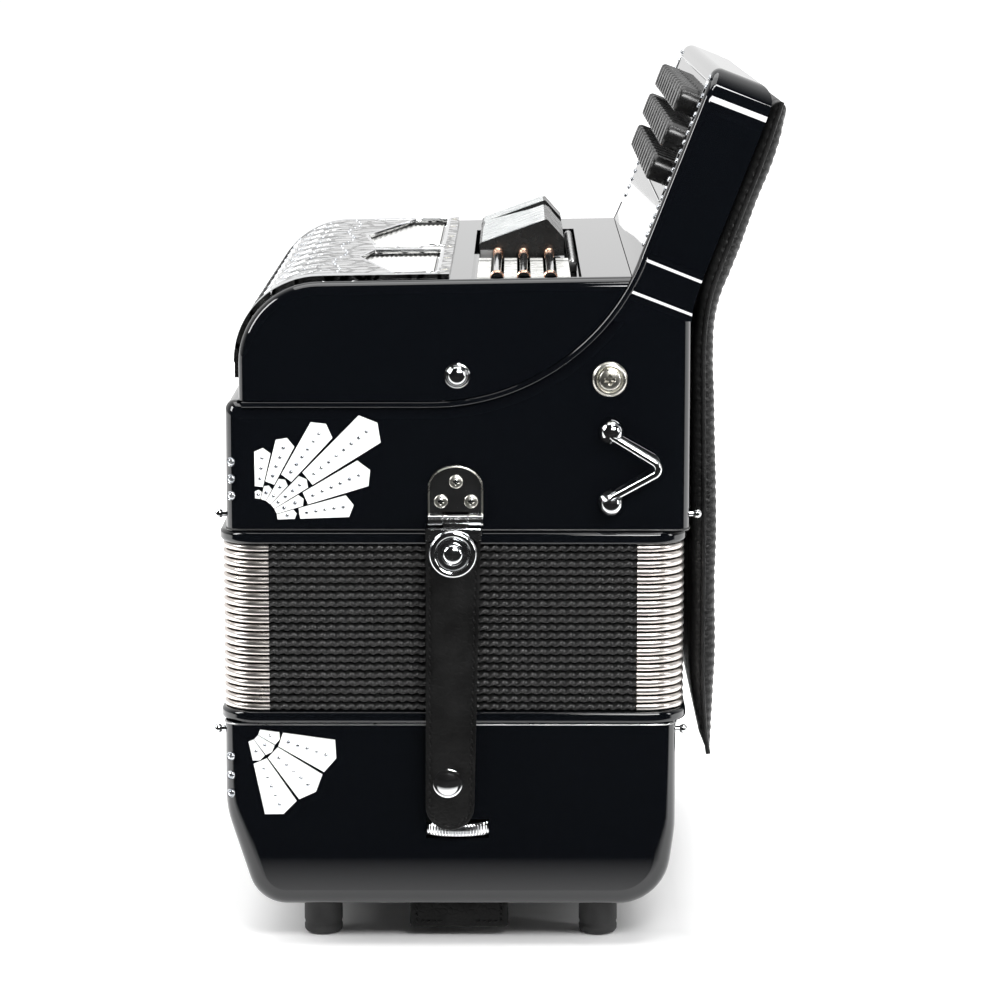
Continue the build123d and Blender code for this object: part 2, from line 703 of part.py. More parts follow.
def bail_line():
    """Centre line of a bail as distance from its axis and height: pin, leg, leg, pin."""
    high, low = BAIL_POST_Z
    pin, bend = 3.3, 1.9
    nose = (BAIL_REACH, (high + low) / 2)
    return [(0, high + pin), (0, high - bend), nose, (0, low + bend), (0, low - pin)]


def bail_posts():
    """Ball-headed posts, slotted so that the bail's legs can swing out of them."""
    high, low = BAIL_POST_Z
    line = bail_line()
    slope = atan2(line[1][1] - line[2][1], BAIL_REACH)
    half = (BAIL_WIRE_R + 0.75) / cos(slope)
    nose_x, nose_z = line[2]
    posts = []
    for z, (start_x, start_z), away in ((high, line[1], 1), (low, line[3], -1)):
        post = rod_y(BAIL_X, z, BAIL_POST_R, BAIL_AXIS_Y, -CASE_HALF_Y)
        ball = Pos(BAIL_X, BAIL_AXIS_Y, z) * Sphere(BAIL_POST_R)
        post += ball & block(BAIL_X - 9, BAIL_X + 9, -CASE_HALF_Y - 12, -CASE_HALF_Y, z - 9, z + 9)
        corners = [
            (start_x, start_z + half),
            (nose_x, nose_z + half),
            (nose_x, nose_z - half),
            (start_x, start_z - half),
        ]
        slot = revolve(Plane.XZ * outline(corners, [0] * 4), Axis.Z, 360)
        slot = Pos(BAIL_X, BAIL_AXIS_Y, 0) * slot
        slot &= block(BAIL_X - 30, BAIL_X + 30, -200, BAIL_AXIS_Y + 2.1, 150, 250)
        post -= slot
        hole_z = sorted((z - away * 1.2, z + away * 3.6))
        post -= rod_z(BAIL_X, BAIL_AXIS_Y, BAIL_WIRE_R + RUNNING_GAP, *hole_z)
        posts.append(post)
    return both_ends(posts)


def strap_bail():
    path = FilletPolyline(*[Vector(*p) for p in bail_line()], radius=[2.0, 3.0, 2.0])
    lean = radians(BAIL_STANDOFF)
    turned = Plane(
        origin=(BAIL_X, BAIL_AXIS_Y, 0),
        x_dir=(cos(lean), -sin(lean), 0),
        z_dir=(-sin(lean), -cos(lean), 0),
    )
    start = Plane(origin=(BAIL_X, BAIL_AXIS_Y, bail_line()[0][1]), z_dir=(0, 0, -1))
    return sweep(start * Circle(BAIL_WIRE_R), turned * path)


# ---------------------------------------------------------------- bellows straps
def hinge_plate():
    face = outline([(-10, 179.3), (-10, 201.4), (12.2, 201.4), (12.2, 179.3)], [0, 9, 9, 0])
    plate = across(face, -CASE_HALF_Y - 1.5, -CASE_HALF_Y)
    plate -= block(-4.2, 6.4, -CASE_HALF_Y - 2, -CASE_HALF_Y + 1, 179, HINGE_Z + KNUCKLE_R + 0.8)
    for x0, x1 in ((-10, -4.2), (6.4, 12.2)):
        plate += rod_x(HINGE_Y, HINGE_Z, KNUCKLE_R, x0, x1)
    return plate + rod_x(HINGE_Y, HINGE_Z, HINGE_PIN_R, -9, 11)


def hinge_plates():
    pieces = [hinge_plate()]
    for x, z in ((1.3, 194.9), (-4.8, 186.9), (7.4, 186.9)):
        pieces.append(near_face(domed_head(2.3, 1.1), x, z, -CASE_HALF_Y - 1.5))
    return both_ends(pieces)


def strap_metal():
    """Hinge leaf with its knuckle, ring washer with rivet, and snap cap."""
    leaf = rod_x(HINGE_Y, HINGE_Z, KNUCKLE_R, -3.9, 6.1)
    leaf += block(-3.9, 6.1, STRAP_INNER_Y, STRAP_INNER_Y + 0.9, 160, HINGE_Z)
    leaf += block(-10.9, 11.4, STRAP_INNER_Y, STRAP_INNER_Y + 0.9, 158, 176.4)
    leaf -= rod_x(HINGE_Y, HINGE_Z, HINGE_PIN_R + RUNNING_GAP, -5, 8)
    outside = STRAP_INNER_Y - STRAP_THICK
    ring = near_face(Pos(0, 0, 0.6) * (Cylinder(9.6, 1.2) - Cylinder(6.0, 3)), 0.1, 166.2, outside)
    dome = near_face(domed_head(4.5, 2.6), 0.1, 166.2, outside)
    cap = near_face(domed_head(5.9, 1.8), *SNAP, outside)
    return [leaf, ring, dome, cap]


def strap_leather():
    points = [(-10.9, 176.2), (-11.2, 51.8), (8.0, 51.8), (11.4, 176.2)]
    face = outline(points, [1, 9, 9, 1])
    return across(face, STRAP_INNER_Y - STRAP_THICK, STRAP_INNER_Y)


def snap_studs():
    top = -CASE_HALF_Y - STRAP_INNER_Y - MESH_GAP
    return both_ends([near_face(Pos(0, 0, top / 2) * Cylinder(3.0, top), *SNAP)])


# ---------------------------------------------------------------- trim, screws and pad
def treble_screws():
    cup = Pos(0, 0, 0.8) * Cylinder(7.0, 1.6) + Pos(0, 0, 1.6) * domed_head(4.0, 1.4)
    heads = both_ends(
        [near_face(domed_head(4.5, 3.0), 1.8, 238.0), near_face(cup, 63.4, 236.5)]
    )
    for y in (-120, -68, -16, 36, 88, 128):
        top = COVER_TOP_Z + 1.9 + COVER_SLOPE * (-2.0 - COVER_LEFT_X)
        heads.append(Pos(-3.6, y, top) * domed_head(1.5, 0.7))
    return heads


def back_pad():
    """Padded back rest: its outline runs down the board's back and past the bellows."""
    top = ((80.5, BOARD_THICK + 0.4), (79.5, BOARD_THICK + 7.0), (57.0, BOARD_THICK + 10.6))
    points = [on_board(0, along, into)[::2] for along, into in top]
    points.append(on_board(0, -11.0, BOARD_THICK + 10.6)[::2])
    points += [(106.0, 244.0), (108.4, 178.0), (107.7, 88.0), (105.6, 76.8)]
    points += [(97.4, 101.5), (97.0, 258.0)]
    face = outline(points, [1.5, 4, 30, 14, 40, 60, 12, 0.8, 14, 20])
    return across(face, -PAD_HALF_Y, PAD_HALF_Y)


# ---------------------------------------------------------------- assembly
def build_bass_end():
    put("bass_case", bass_case())
    put("bass_cover", bass_cover())
    put("feet", *feet())
    put("bass_hand_strap", hand_strap())
    put("strap_clamps", *strap_clamps())
    put("wheel_bracket", wheel_bracket())
    put("adjust_wheel", adjust_wheel())
    put("bass_soundboard", bass_soundboard())
    put("bass_reed_block", *bass_reed_block())
    put("bass_reed_plates", *reed_plates(BASS_PALLET_X, 8, 96, 118, bass_button_places()))
    put("bass_lever_axle", axle_with_brackets(BASS_LEVER_AXLE, 72, BASS_SOUNDBOARD_Z, 8))
    for row, letter in enumerate("ab"):
        put("bass_buttons_" + letter, *bass_buttons(BASS_ROW_X[row]))
        put("bass_levers_" + letter, *bass_levers(row))
    put("air_button", air_button())
    put("bass_bellows_frame", frame_ring(BASS_TOP_Z, BELLOWS_LOW_Z))
    stones = both_ends(edge_stones(BASS_LEFT_X, (80.6, 72.7, 65.1)))
    put("bass_ornament", *bass_ornament(), *stones)
    sides = ((-1, BASS_LEFT_X), (1, BASS_RIGHT_X))
    pegs = pins([(s, x, y, 90.6) for s, x in sides for y in (-PIN_Y, PIN_Y)])
    put("bass_studs", *pegs, *snap_studs())


def build_treble_end():
    put("treble_case", treble_case())
    put("grille_cover", grille_cover())
    put("grille", grille())
    put("grille_cloth", crown_band(-0.6, -1.6, -79.8, -8.2, 240.2, -133.8, 133.8))
    put("treble_screws", *treble_screws())
    put("treble_soundboard", treble_soundboard())
    put("treble_reed_blocks", *treble_reed_blocks())
    put("treble_reed_plates", *reed_plates(PALLET_X, 9, 144, 168, row_places(0)))
    top = SOUNDBOARD_Z + SOUNDBOARD_THICK
    put("treble_lever_axle", axle_with_brackets(LEVER_AXLE, 136, top, 8))
    put("fingerboard", fingerboard())
    put("fingerboard_plate", fingerboard_plate())
    for row in range(len(ROW_HEIGHTS)):
        put("treble_buttons_%d" % (row + 1), *treble_buttons(row))
        put("treble_levers_%d" % (row + 1), *treble_levers(row))
    for index in range(REGISTER_COUNT):
        put("register_%d" % (index + 1), register_paddle(index))
    put("register_axle", register_axle())
    put("register_comb", *register_comb())
    put("register_rods", *register_rods())
    put("bail_posts", *bail_posts())
    put("strap_hinge_plates", *hinge_plates())
    put("treble_bellows_frame", frame_ring(BELLOWS_HIGH_Z, TREBLE_LOW_Z))
    stones = both_ends(edge_stones(TREBLE_LEFT_X, (202.6, 195.6, 188.7)))
    put("treble_ornament", *treble_ornament(), *stones)
    sides = ((-1, TREBLE_LEFT_X), (1, TREBLE_RIGHT_X))
    put("treble_pins", *pins([(s, x, y, 180.2) for s, x in sides for y in (-PIN_Y, PIN_Y)]))
    put("back_pad", back_pad())


def build_bellows_and_straps():
    put("bellows", bellows())
    put("bellows_corners", *bellows_corners())
    for end, flip in (("near", False), ("far", True)):
        for name, pieces in (
            ("strap_bail_", [strap_bail()]),
            ("bellows_strap_", [strap_leather()]),
            ("strap_fittings_", strap_metal()),
        ):
            shown = [mirror(piece, Plane.XZ) for piece in pieces] if flip else pieces
            put(name + end, *shown)


def export_all():
    """Move the origin under the middle of the instrument and write one file for each piece."""
    box = Compound([solid for solids in nodes.values() for solid in solids]).bounding_box()
    home = Pos(-(box.min.X + box.max.X) / 2, -(box.min.Y + box.max.Y) / 2, -box.min.Z)
    os.makedirs("parts", exist_ok=True)
    for name, solids in nodes.items():
        export_step(Compound([home * solid for solid in solids]), "parts/" + name + ".step")
    print("origin moved by", tuple(round(v, 3) for v in home.position))
    print("size", box.size)


build_bass_end()
build_treble_end()
build_bellows_and_straps()
export_all()
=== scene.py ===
from math import atan, copysign, cos, dist, exp, hypot, pi, radians, sin, sqrt, tan

import bpy
from mathutils import Matrix, Vector, noise


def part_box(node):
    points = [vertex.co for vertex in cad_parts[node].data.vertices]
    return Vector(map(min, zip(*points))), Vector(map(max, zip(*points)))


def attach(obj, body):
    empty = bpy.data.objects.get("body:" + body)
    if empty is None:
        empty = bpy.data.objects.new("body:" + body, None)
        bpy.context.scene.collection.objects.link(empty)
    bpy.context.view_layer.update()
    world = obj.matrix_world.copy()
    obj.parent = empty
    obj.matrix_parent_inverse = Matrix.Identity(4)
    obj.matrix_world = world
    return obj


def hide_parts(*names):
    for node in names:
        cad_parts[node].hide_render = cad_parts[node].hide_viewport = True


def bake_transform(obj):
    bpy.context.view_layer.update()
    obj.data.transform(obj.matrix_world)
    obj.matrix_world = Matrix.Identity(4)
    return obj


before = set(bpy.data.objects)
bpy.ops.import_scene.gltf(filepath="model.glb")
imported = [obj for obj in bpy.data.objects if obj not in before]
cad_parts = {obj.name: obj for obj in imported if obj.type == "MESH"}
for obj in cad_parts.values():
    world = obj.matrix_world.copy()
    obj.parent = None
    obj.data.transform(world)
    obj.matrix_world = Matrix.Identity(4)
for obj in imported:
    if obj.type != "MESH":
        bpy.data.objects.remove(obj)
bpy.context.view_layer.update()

MM = 0.001
bellows_low, bellows_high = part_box("bellows")
CENTRE_X = (bellows_low.x + bellows_high.x) / 2 / MM   # the bellows' middle, mm
BELLOWS_Z = (bellows_low.z / MM, bellows_high.z / MM)

# All lengths below are in mm, from the bellows' middle in X and from the floor in Z.
CASE_Y = 148.0                 # end faces of both cases
EDGE_R = 7.0                   # rounding of the cases' upright edges
BASS_X = (-93.6, 91.2)         # front and back of the bass case
TREBLE_X = (-92.3, 96.1)       # front and back of the treble case
NEAR, FAR = -1, 1
ENDS = ((NEAR, "near"), (FAR, "far"))


# ---- materials
LOOKS = {}


def add_node(tree, kind, **inputs):
    """Shader node of this kind; each input is a value or another node's output."""
    node = tree.nodes.new("ShaderNode" + kind)
    for key, value in inputs.items():
        socket = node.inputs[key.replace("_", " ")]
        if isinstance(value, bpy.types.NodeSocket):
            tree.links.new(value, socket)
        else:
            socket.default_value = value
    return node


def mix_to(output, share, first, second):
    """Send a mix of two shaders to a surface output."""
    tree = output.id_data
    mix = add_node(tree, "MixShader", Fac=share)
    tree.links.new(first, mix.inputs[1])
    tree.links.new(second, mix.inputs[2])
    tree.links.new(mix.outputs["Shader"], output.inputs["Surface"])


class Recipe:
    """A procedural material around one Principled shader, in object coordinates."""

    def __init__(self, name, color, roughness, metallic=0.0, **sockets):
        material = bpy.data.materials.new(name)
        material.use_nodes = True
        self.tree = material.node_tree
        self.shader = self.tree.nodes["Principled BSDF"]
        sockets.update(Base_Color=(*color, 1), Roughness=roughness, Metallic=metallic)
        for key, value in sockets.items():
            self.shader.inputs[key.replace("_", " ")].default_value = value
        self.place = self.node("TexCoord").outputs["Object"]
        self.normal = None
        LOOKS[name] = material

    def node(self, kind, **inputs):
        return add_node(self.tree, kind, **inputs)

    def stretched(self, scale):
        if not scale:
            return self.place
        return self.node("Mapping", Vector=self.place, Scale=scale).outputs["Vector"]

    def noise(self, scale, detail=4.0, stretch=None):
        place = self.stretched(stretch)
        return self.node("TexNoise", Vector=place, Scale=scale, Detail=detail).outputs["Fac"]

    def cells(self, scale, feature="F1", stretch=None):
        node = self.node("TexVoronoi", Vector=self.stretched(stretch), Scale=scale)
        node.feature = feature
        return node.outputs["Distance"]

    def spread(self, fac, low, high, start=0.0, stop=1.0):
        ends = {"From Min": start, "From Max": stop, "To Min": low, "To Max": high}
        return self.node("MapRange", Value=fac, **ends).outputs["Result"]

    def tones(self, fac, *stops):
        node = self.node("ValToRGB", Fac=fac)
        ramp = node.color_ramp
        while len(ramp.elements) < len(stops):
            ramp.elements.new(1.0)
        for element, (position, color) in zip(ramp.elements, stops):
            element.position = position
            element.color = (*color, 1)
        self.tree.links.new(node.outputs["Color"], self.shader.inputs["Base Color"])
        return self

    def rough(self, fac, low, high, start=0.0, stop=1.0):
        found = self.spread(fac, low, high, start, stop)
        self.tree.links.new(found, self.shader.inputs["Roughness"])
        return self

    def bump(self, fac, distance, strength=1.0):
        node = self.node("Bump", Height=fac, Distance=distance, Strength=strength)
        if self.normal:
            self.tree.links.new(self.normal, node.inputs["Normal"])
        self.normal = node.outputs["Normal"]
        self.tree.links.new(self.normal, self.shader.inputs["Normal"])
        return self

    def grain(self, scale, width, distance, strength):
        """Leather grain: raised cells with a groove of this width between them."""
        cell = self.cells(scale, "DISTANCE_TO_EDGE")
        return self.bump(self.spread(cell, 0, 1, 0.0, width), distance, strength)


def grey(value):
    return (value, value, value)


def make_metal(name, color, low, high, streak=None, grain=0.4):
    r = Recipe(name, color, low, 1.0)
    r.tones(r.noise(55, 6, streak), (0.3, tuple(c * 0.86 for c in color)), (0.62, color))
    r.rough(r.noise(120, 5, streak), low, high, 0.3, 0.7).bump(r.noise(400, 3, streak), 0.00001, grain)


def make_plastic(name, color, low, high, scale=160.0):
    r = Recipe(name, color, low)
    r.tones(r.noise(scale, 5), (0.3, tuple(c * 0.82 for c in color)), (0.7, color))
    r.rough(r.noise(scale * 1.7, 4), low, high, 0.3, 0.7).bump(r.noise(scale * 5, 3), 0.00003, 0.5)


def make_dark_looks():
    """Lacquer with specks of dust, waxed bellows cloth, leather, creased pad vinyl and rubber."""
    r = Recipe("black_lacquer", (0.002, 0.0025, 0.0035), 0.03, Coat_Weight=0.3, Coat_Roughness=0.01)
    stops = (0.0, (0.0015, 0.002, 0.003)), (0.78, (0.0025, 0.003, 0.004)), (0.85, grey(0.02))
    r.tones(r.noise(900, 2), *stops)
    r.rough(r.noise(14, 5), 0.018, 0.04, 0.3, 0.7)

    r = Recipe("bellows_cloth", grey(0.02), 0.42, Sheen_Weight=0.15, Sheen_Roughness=0.4)
    weave = r.cells(1500)
    r.tones(r.noise(420, 4), (0.3, grey(0.006)), (0.7, grey(0.020))).rough(weave, 0.28, 0.42)
    r.bump(weave, 0.00012, 0.6).bump(r.noise(240, 3), 0.0001, 0.5)

    black = 0.006
    r = Recipe("black_leather", grey(black), 0.3, Specular_IOR_Level=0.12)
    r.tones(r.noise(70, 6), (0.25, grey(black * 0.6)), (0.75, grey(black * 1.5)))
    r.rough(r.noise(160, 5), 0.3, 0.5, 0.3, 0.7)
    r.grain(420.0, 0.22, 0.00016, 0.7).bump(r.noise(900, 3), 0.00005, 0.5)

    r = Recipe("pad_vinyl", grey(0.008), 0.38, Specular_IOR_Level=0.3)
    r.tones(r.noise(30, 6), (0.25, grey(0.005)), (0.8, grey(0.013)))
    r.rough(r.noise(90, 5), 0.3, 0.5, 0.3, 0.7)
    r.bump(r.noise(75, 5, (1, 1.0, 0.5)), 0.0007, 0.45).grain(650, 0.2, 0.00012, 0.6)

    r = Recipe("rubber", grey(0.022), 0.75)
    r.tones(r.noise(110, 6), (0.3, grey(0.013)), (0.75, grey(0.04)))
    r.rough(r.noise(220, 4), 0.6, 0.85).bump(r.noise(1300, 4), 0.00015, 0.7)


def make_pale_looks():
    """Cut leather edge, thread, celluloid inlay, pearl, ribbed silk, cut stones and spruce."""
    r = Recipe("raw_edge", (0.7, 0.68, 0.65), 0.7)
    r.tones(r.noise(800, 6), (0.3, (0.5, 0.49, 0.46)), (0.7, (0.82, 0.80, 0.77)))
    r.bump(r.noise(1500, 4), 0.00012, 0.8)

    r = Recipe("thread", grey(0.6), 0.6)
    r.tones(r.noise(1800, 2), (0.35, grey(0.4)), (0.65, grey(0.75)))
    twist = r.node("TexWave", Vector=r.place, Scale=900)
    twist.bands_direction = "DIAGONAL"
    r.bump(twist.outputs["Fac"], 0.00008, 0.6)

    r = Recipe("white_inlay", (0.82, 0.83, 0.81), 0.28, Coat_Weight=0.3, Coat_Roughness=0.1)
    stops = (0.3, (0.70, 0.72, 0.71)), (0.55, (0.84, 0.85, 0.83)), (0.8, (0.9, 0.9, 0.88))
    r.tones(r.noise(130, 4, (1, 1, 0.5)), *stops)
    r.rough(r.noise(300, 3), 0.2, 0.4).bump(r.noise(500, 3), 0.00004, 0.5)

    r = Recipe("pearl", (0.62, 0.64, 0.64), 0.22, Coat_Weight=0.4, Coat_Roughness=0.06)
    stops = (0.3, (0.42, 0.44, 0.45)), (0.55, (0.62, 0.64, 0.64)), (0.78, (0.76, 0.77, 0.76))
    r.tones(r.noise(210, 5, (0.5, 1, 1)), *stops).rough(r.noise(340, 3), 0.14, 0.3)

    r = Recipe("grille_cloth", (0.84, 0.84, 0.81), 0.6, Sheen_Weight=0.3)
    r.tones(r.noise(500, 4, (1, 0.12, 1)), (0.3, (0.70, 0.70, 0.67)), (0.65, (0.88, 0.88, 0.86)))
    r.bump(r.noise(1600, 2), 0.0001, 0.5)

    r = Recipe("crystal", (0.62, 0.64, 0.67), 0.04, 0.85)
    r.tones(r.noise(600, 2), (0.35, (0.34, 0.36, 0.39)), (0.7, (0.86, 0.88, 0.9)))
    r.rough(r.noise(300, 2), 0.02, 0.08)

    r = Recipe("spruce", (0.55, 0.38, 0.2), 0.55)
    rings = r.noise(26, 6, (1.0, 0.07, 1.0))
    r.tones(rings, (0.3, (0.36, 0.22, 0.10)), (0.5, (0.60, 0.42, 0.23)), (0.72, (0.72, 0.54, 0.32)))
    r.rough(rings, 0.45, 0.7).bump(rings, 0.0002, 0.4)


def make_engraved():
    """Chrome grille plate with black-filled engraving."""
    r = Recipe("engraved_chrome", (0.8, 0.81, 0.82), 0.12, 1.0)
    line = r.cells(95.0, "DISTANCE_TO_EDGE", (1, 1, 0.6))
    r.tones(line, (0.05, grey(0.012)), (0.09, grey(0.62)), (0.5, grey(0.85)))
    r.rough(r.noise(160, 4), 0.06, 0.2, 0.3, 0.7).bump(r.spread(line, 0, 1, 0.03, 0.1), 0.0003, 0.8)


make_metal("chrome", (0.86, 0.87, 0.88), 0.06, 0.14)
make_metal("nickel", (0.86, 0.83, 0.79), 0.34, 0.44)
make_metal("guard_metal", (0.83, 0.78, 0.74), 0.27, 0.31, None, 0.0)
make_metal("nickel_screw", (0.86, 0.84, 0.76), 0.24, 0.34)
make_metal("copper", (0.80, 0.50, 0.36), 0.14, 0.28)
make_metal("steel", (0.50, 0.50, 0.50), 0.22, 0.4)
make_metal("aluminium", (0.72, 0.73, 0.74), 0.28, 0.45, (1, 0.15, 1))
make_plastic("black_metal", grey(0.018), 0.32, 0.5, 300.0)
make_plastic("black_button", grey(0.010), 0.2, 0.32)
make_plastic("white_bar", (0.84, 0.84, 0.81), 0.2, 0.35)
make_dark_looks()
make_pale_looks()
make_engraved()


def paint(obj, *names):
    """Give an object these looks, in the order of its faces' material numbers."""
    obj.data.materials.clear()
    for name in names:
        obj.data.materials.append(LOOKS[name])


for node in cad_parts.values():
    paint(node, node.data.materials[0].name.split(".")[0])
paint(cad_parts["grille"], "engraved_chrome")


# ---- mesh helpers
def at(x, y, z):
    """A place in mm from the bellows' middle, as metres in the row frame."""
    return Vector(((x + CENTRE_X) * MM, y * MM, z * MM))


BODY = Matrix.Translation(at(0, 0, 0)) @ Matrix.Scale(MM, 4)   # whole-instrument place, local mm


def turned(origin, along, out):
    """Matrix at origin whose local X runs along and local Z points out; local units are mm."""
    turn = Matrix((along, out.cross(along), out)).transposed().to_4x4()
    return Matrix.Translation(origin) @ turn @ Matrix.Scale(MM, 4)


def frame_at(origin, out, up=(0, 0, 1)):
    """Matrix whose local Z points along out, placed at origin; local units are mm."""
    z = Vector(out).normalized()
    x = Vector(up).cross(z)
    if x.length < 1e-6:
        x = Vector((1, 0, 0))
    x.normalize()
    return turned(origin, x, z)


def near_spot(x, z, y=CASE_Y, side=NEAR):
    """Matrix of a spot on the near or far end face, local Z pointing outward."""
    return frame_at(at(x, side * y, z), (0, side, 0))


def put(name, data, place, rotation):
    """Object of this name, with its location and rotation, in the scene."""
    obj = bpy.data.objects.new(name, data)
    obj.location = place
    obj.rotation_euler = rotation
    bpy.context.scene.collection.objects.link(obj)
    return obj


class Mesher:
    """Collects points and faces of one piece, then makes its object."""

    def __init__(self):
        self.points = []
        self.faces = []
        self.tones = []

    def grid(self, rows, matrix=None, tone=0, close=False, wrap=False, tones=None):
        """Quads between rows of points; close joins each row's ends, wrap joins last row to first."""
        base, count = len(self.points), len(rows[0])
        mirrored = matrix is not None and matrix.to_3x3().determinant() < 0
        points = [Vector(point) for row in rows for point in row]
        self.points += [matrix @ point for point in points] if matrix else points
        for i in range(len(rows) - (0 if wrap else 1)):
            here, there = base + i * count, base + (i + 1) % len(rows) * count
            for k in range(count - (0 if close else 1)):
                m = (k + 1) % count
                quad = [here + k, here + m, there + m, there + k]
                self.faces.append(quad[::-1] if mirrored else quad)
                self.tones.append(tones[i] if tones else tone)

    def lathe(self, profile, matrix, segments=32, tone=0, tones=None):
        """Profile of radius and height turned about local Z, in mm; closed where it meets the axis."""
        turns = circle(segments)
        rows = [[(x, y, height) for x, y in arc(max(radius, 1e-4), turns)] for radius, height in profile]
        self.grid(rows, matrix, tone, close=True, tones=tones)

    def tube(self, path, radius, sides=8, tone=0, closed=False):
        """Round tube along points in metres; radius in mm."""
        rows = []
        last = len(path) - 1
        for i, point in enumerate(path):
            before = path[i - 1] if closed or i > 0 else path[i]
            after = path[(i + 1) % len(path)] if closed or i < last else path[i]
            along = (after - before).normalized()
            side = along.orthogonal() if i == 0 else (side - along * side.dot(along))
            side.normalize()
            other = along.cross(side)
            rows.append([
                point + (side * cos(a) + other * sin(a)) * radius * MM
                for a in circle(sides)
            ])
        self.grid(rows, tone=tone, close=True, wrap=closed)
        if not closed:
            self.cap_ends(rows, tone)

    def cap_ends(self, rows, tone=0):
        """Close the first and last row of the grid that was just added."""
        count = len(rows[0])
        last = len(self.points) - count
        first = last - count * (len(rows) - 1)
        self.faces += [[first + k for k in reversed(range(count))], [last + k for k in range(count)]]
        self.tones += [tone, tone]

    def flip(self):
        self.faces = [face[::-1] for face in self.faces]

    def build(self, name, looks, body=None, slot=None, replaces=(), sharp=38.0):
        mesh = bpy.data.meshes.new(name)
        mesh.from_pydata([tuple(p) for p in self.points], [], self.faces)
        mesh.polygons.foreach_set("material_index", self.tones)
        mesh.shade_smooth()
        mesh.set_sharp_from_angle(angle=radians(sharp))
        mesh.validate()
        obj = put(name, mesh, (0, 0, 0), (0, 0, 0))
        paint(obj, *looks)
        if replaces:
            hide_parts(*replaces)
        if body:
            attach(obj, body)
        return obj


def circle(count):
    return [2 * pi * k / count for k in range(count)]


def arc(radius, turns):
    return [(radius * cos(a), radius * sin(a)) for a in turns]


def smooth(value):
    value = min(1.0, max(0.0, value))
    return value * value * (3 - 2 * value)


def add_box(mesher, x0, x1, y0, y1, z0, z1, edge=0.3, matrix=None, tone=0):
    """Box with rounded edges, built of rings along Z."""
    rows = []
    low = ((z0, edge), (z0 + edge * 0.3, edge * 0.3), (z0 + edge, 0))
    high = ((z1 - edge, 0), (z1 - edge * 0.3, edge * 0.3), (z1, edge))
    for z, inset in low + high:
        ring = []
        for cx, cy, start in ((x1 - edge, y1 - edge, 0), (x0 + edge, y1 - edge, 90),
                              (x0 + edge, y0 + edge, 180), (x1 - edge, y0 + edge, 270)):
            for step in range(4):
                a = radians(start + 30 * step)
                ring.append((cx + (edge - inset) * cos(a), cy + (edge - inset) * sin(a), z))
        rows.append(ring)
    mesher.grid(rows, matrix, tone, close=True)
    mesher.cap_ends(rows, tone)


def rounded_loop(half_x, half_y, radius, step):
    """Points and outward normals round a rounded rectangle, from the middle of the near side."""
    hx, hy = half_x - radius, half_y - radius
    legs = ((0, -half_y, hx, -half_y), (half_x, -hy, half_x, hy), (hx, half_y, -hx, half_y),
            (-half_x, hy, -half_x, -hy), (-hx, -half_y, 0, -half_y))
    arcs = ((hx, -hy, -90), (hx, hy, 0), (-hx, hy, 90), (-hx, -hy, 180))
    parts = []
    for x0, y0, x1, y1 in legs:
        length = hypot(x1 - x0, y1 - y0)
        parts.append((length, x0, y0, (x1 - x0) / length, (y1 - y0) / length))
        if len(parts) < 9:
            parts.append((pi / 2 * radius, *arcs[len(parts) // 2]))
    total = sum(part[0] for part in parts)
    count = round(total / step)
    found = []
    for i in range(count):
        s = total * i / count
        for part in parts:
            if s <= part[0] + 1e-9:
                break
            s -= part[0]
        if len(part) == 5:
            _, x, y, dx, dy = part
            found.append((x + dx * s, y + dy * s, dy, -dx))
        else:
            _, x, y, start = part
            a = radians(start) + s / radius
            found.append((x + radius * cos(a), y + radius * sin(a), cos(a), sin(a)))
    return found


def gem(mesher, matrix, radius, height, tone=0):
    """Faceted stone: table, crown and girdle."""
    rows = []
    for share, rise, turn in ((1.0, 0.0, 0.0), (1.0, 0.25, 0.0), (0.82, 0.62, 0.5), (0.5, 1.0, 0.0)):
        turns = [pi / 4 * (k + turn) for k in range(8)]
        rows.append([(x, y, height * rise) for x, y in arc(radius * share, turns)])
    mesher.grid(rows, matrix, tone, close=True)
    last = len(mesher.points) - 8
    mesher.faces.append([last + k for k in range(8)])
    mesher.tones.append(tone)


def phillips(mesher, matrix, radius, height, recess=0.55):
    """Domed screw head with a cross recess."""
    rings = 15
    arm, depth, reach = radius * 0.13, height * 0.75, radius * recess
    turns = circle(64)
    rows = [[(x, y, 0) for x, y in arc(radius, turns)]]
    for i in range(rings, -1, -1):
        share = max(i / rings, 0.002)
        r = radius * share
        crown = height * (0.25 + 0.75 * sqrt(max(0.0, 1 - share * share * 0.92)))
        row = []
        for x, y in arc(r, turns):
            width = min(abs(x), abs(y))
            inside = smooth((arm * 1.5 - width) / (arm * 0.6)) * smooth((reach - r) / (radius * 0.1))
            row.append((x, y, crown - depth * inside))
        rows.append(row)
    mesher.grid(rows, matrix, close=True)


def stitches(mesher, spots, tone=0, length=2.1, width=0.46, rise=0.42):
    """Small slanted thread loops; each spot is a matrix whose X runs along the seam."""
    for matrix in spots:
        rows = []
        for i in range(7):
            share = -1 + i / 3
            hump = 1 - share * share
            r = width * sqrt(max(0.0, hump)) + 0.02
            rows.append([
                (share * length / 2, share * 0.25 + r * cos(a), rise * hump - 0.05 + r * 0.7 * sin(a))
                for a in circle(6)
            ])
        mesher.grid(rows, matrix, tone, close=True)


# ---- bellows
FOLDS = 21
FOLD_STEP = (BELLOWS_Z[1] - BELLOWS_Z[0]) / FOLDS
BELLOWS_HALF = (94.5, 149.5)   # half width and half length over the crests
CORNER_R = 16.0
VALLEY = 7.5                   # how far the folds go in behind the crests
ROPE_PITCH = 3.9               # one twist of the crest's cord
TWIST_STEPS = 7


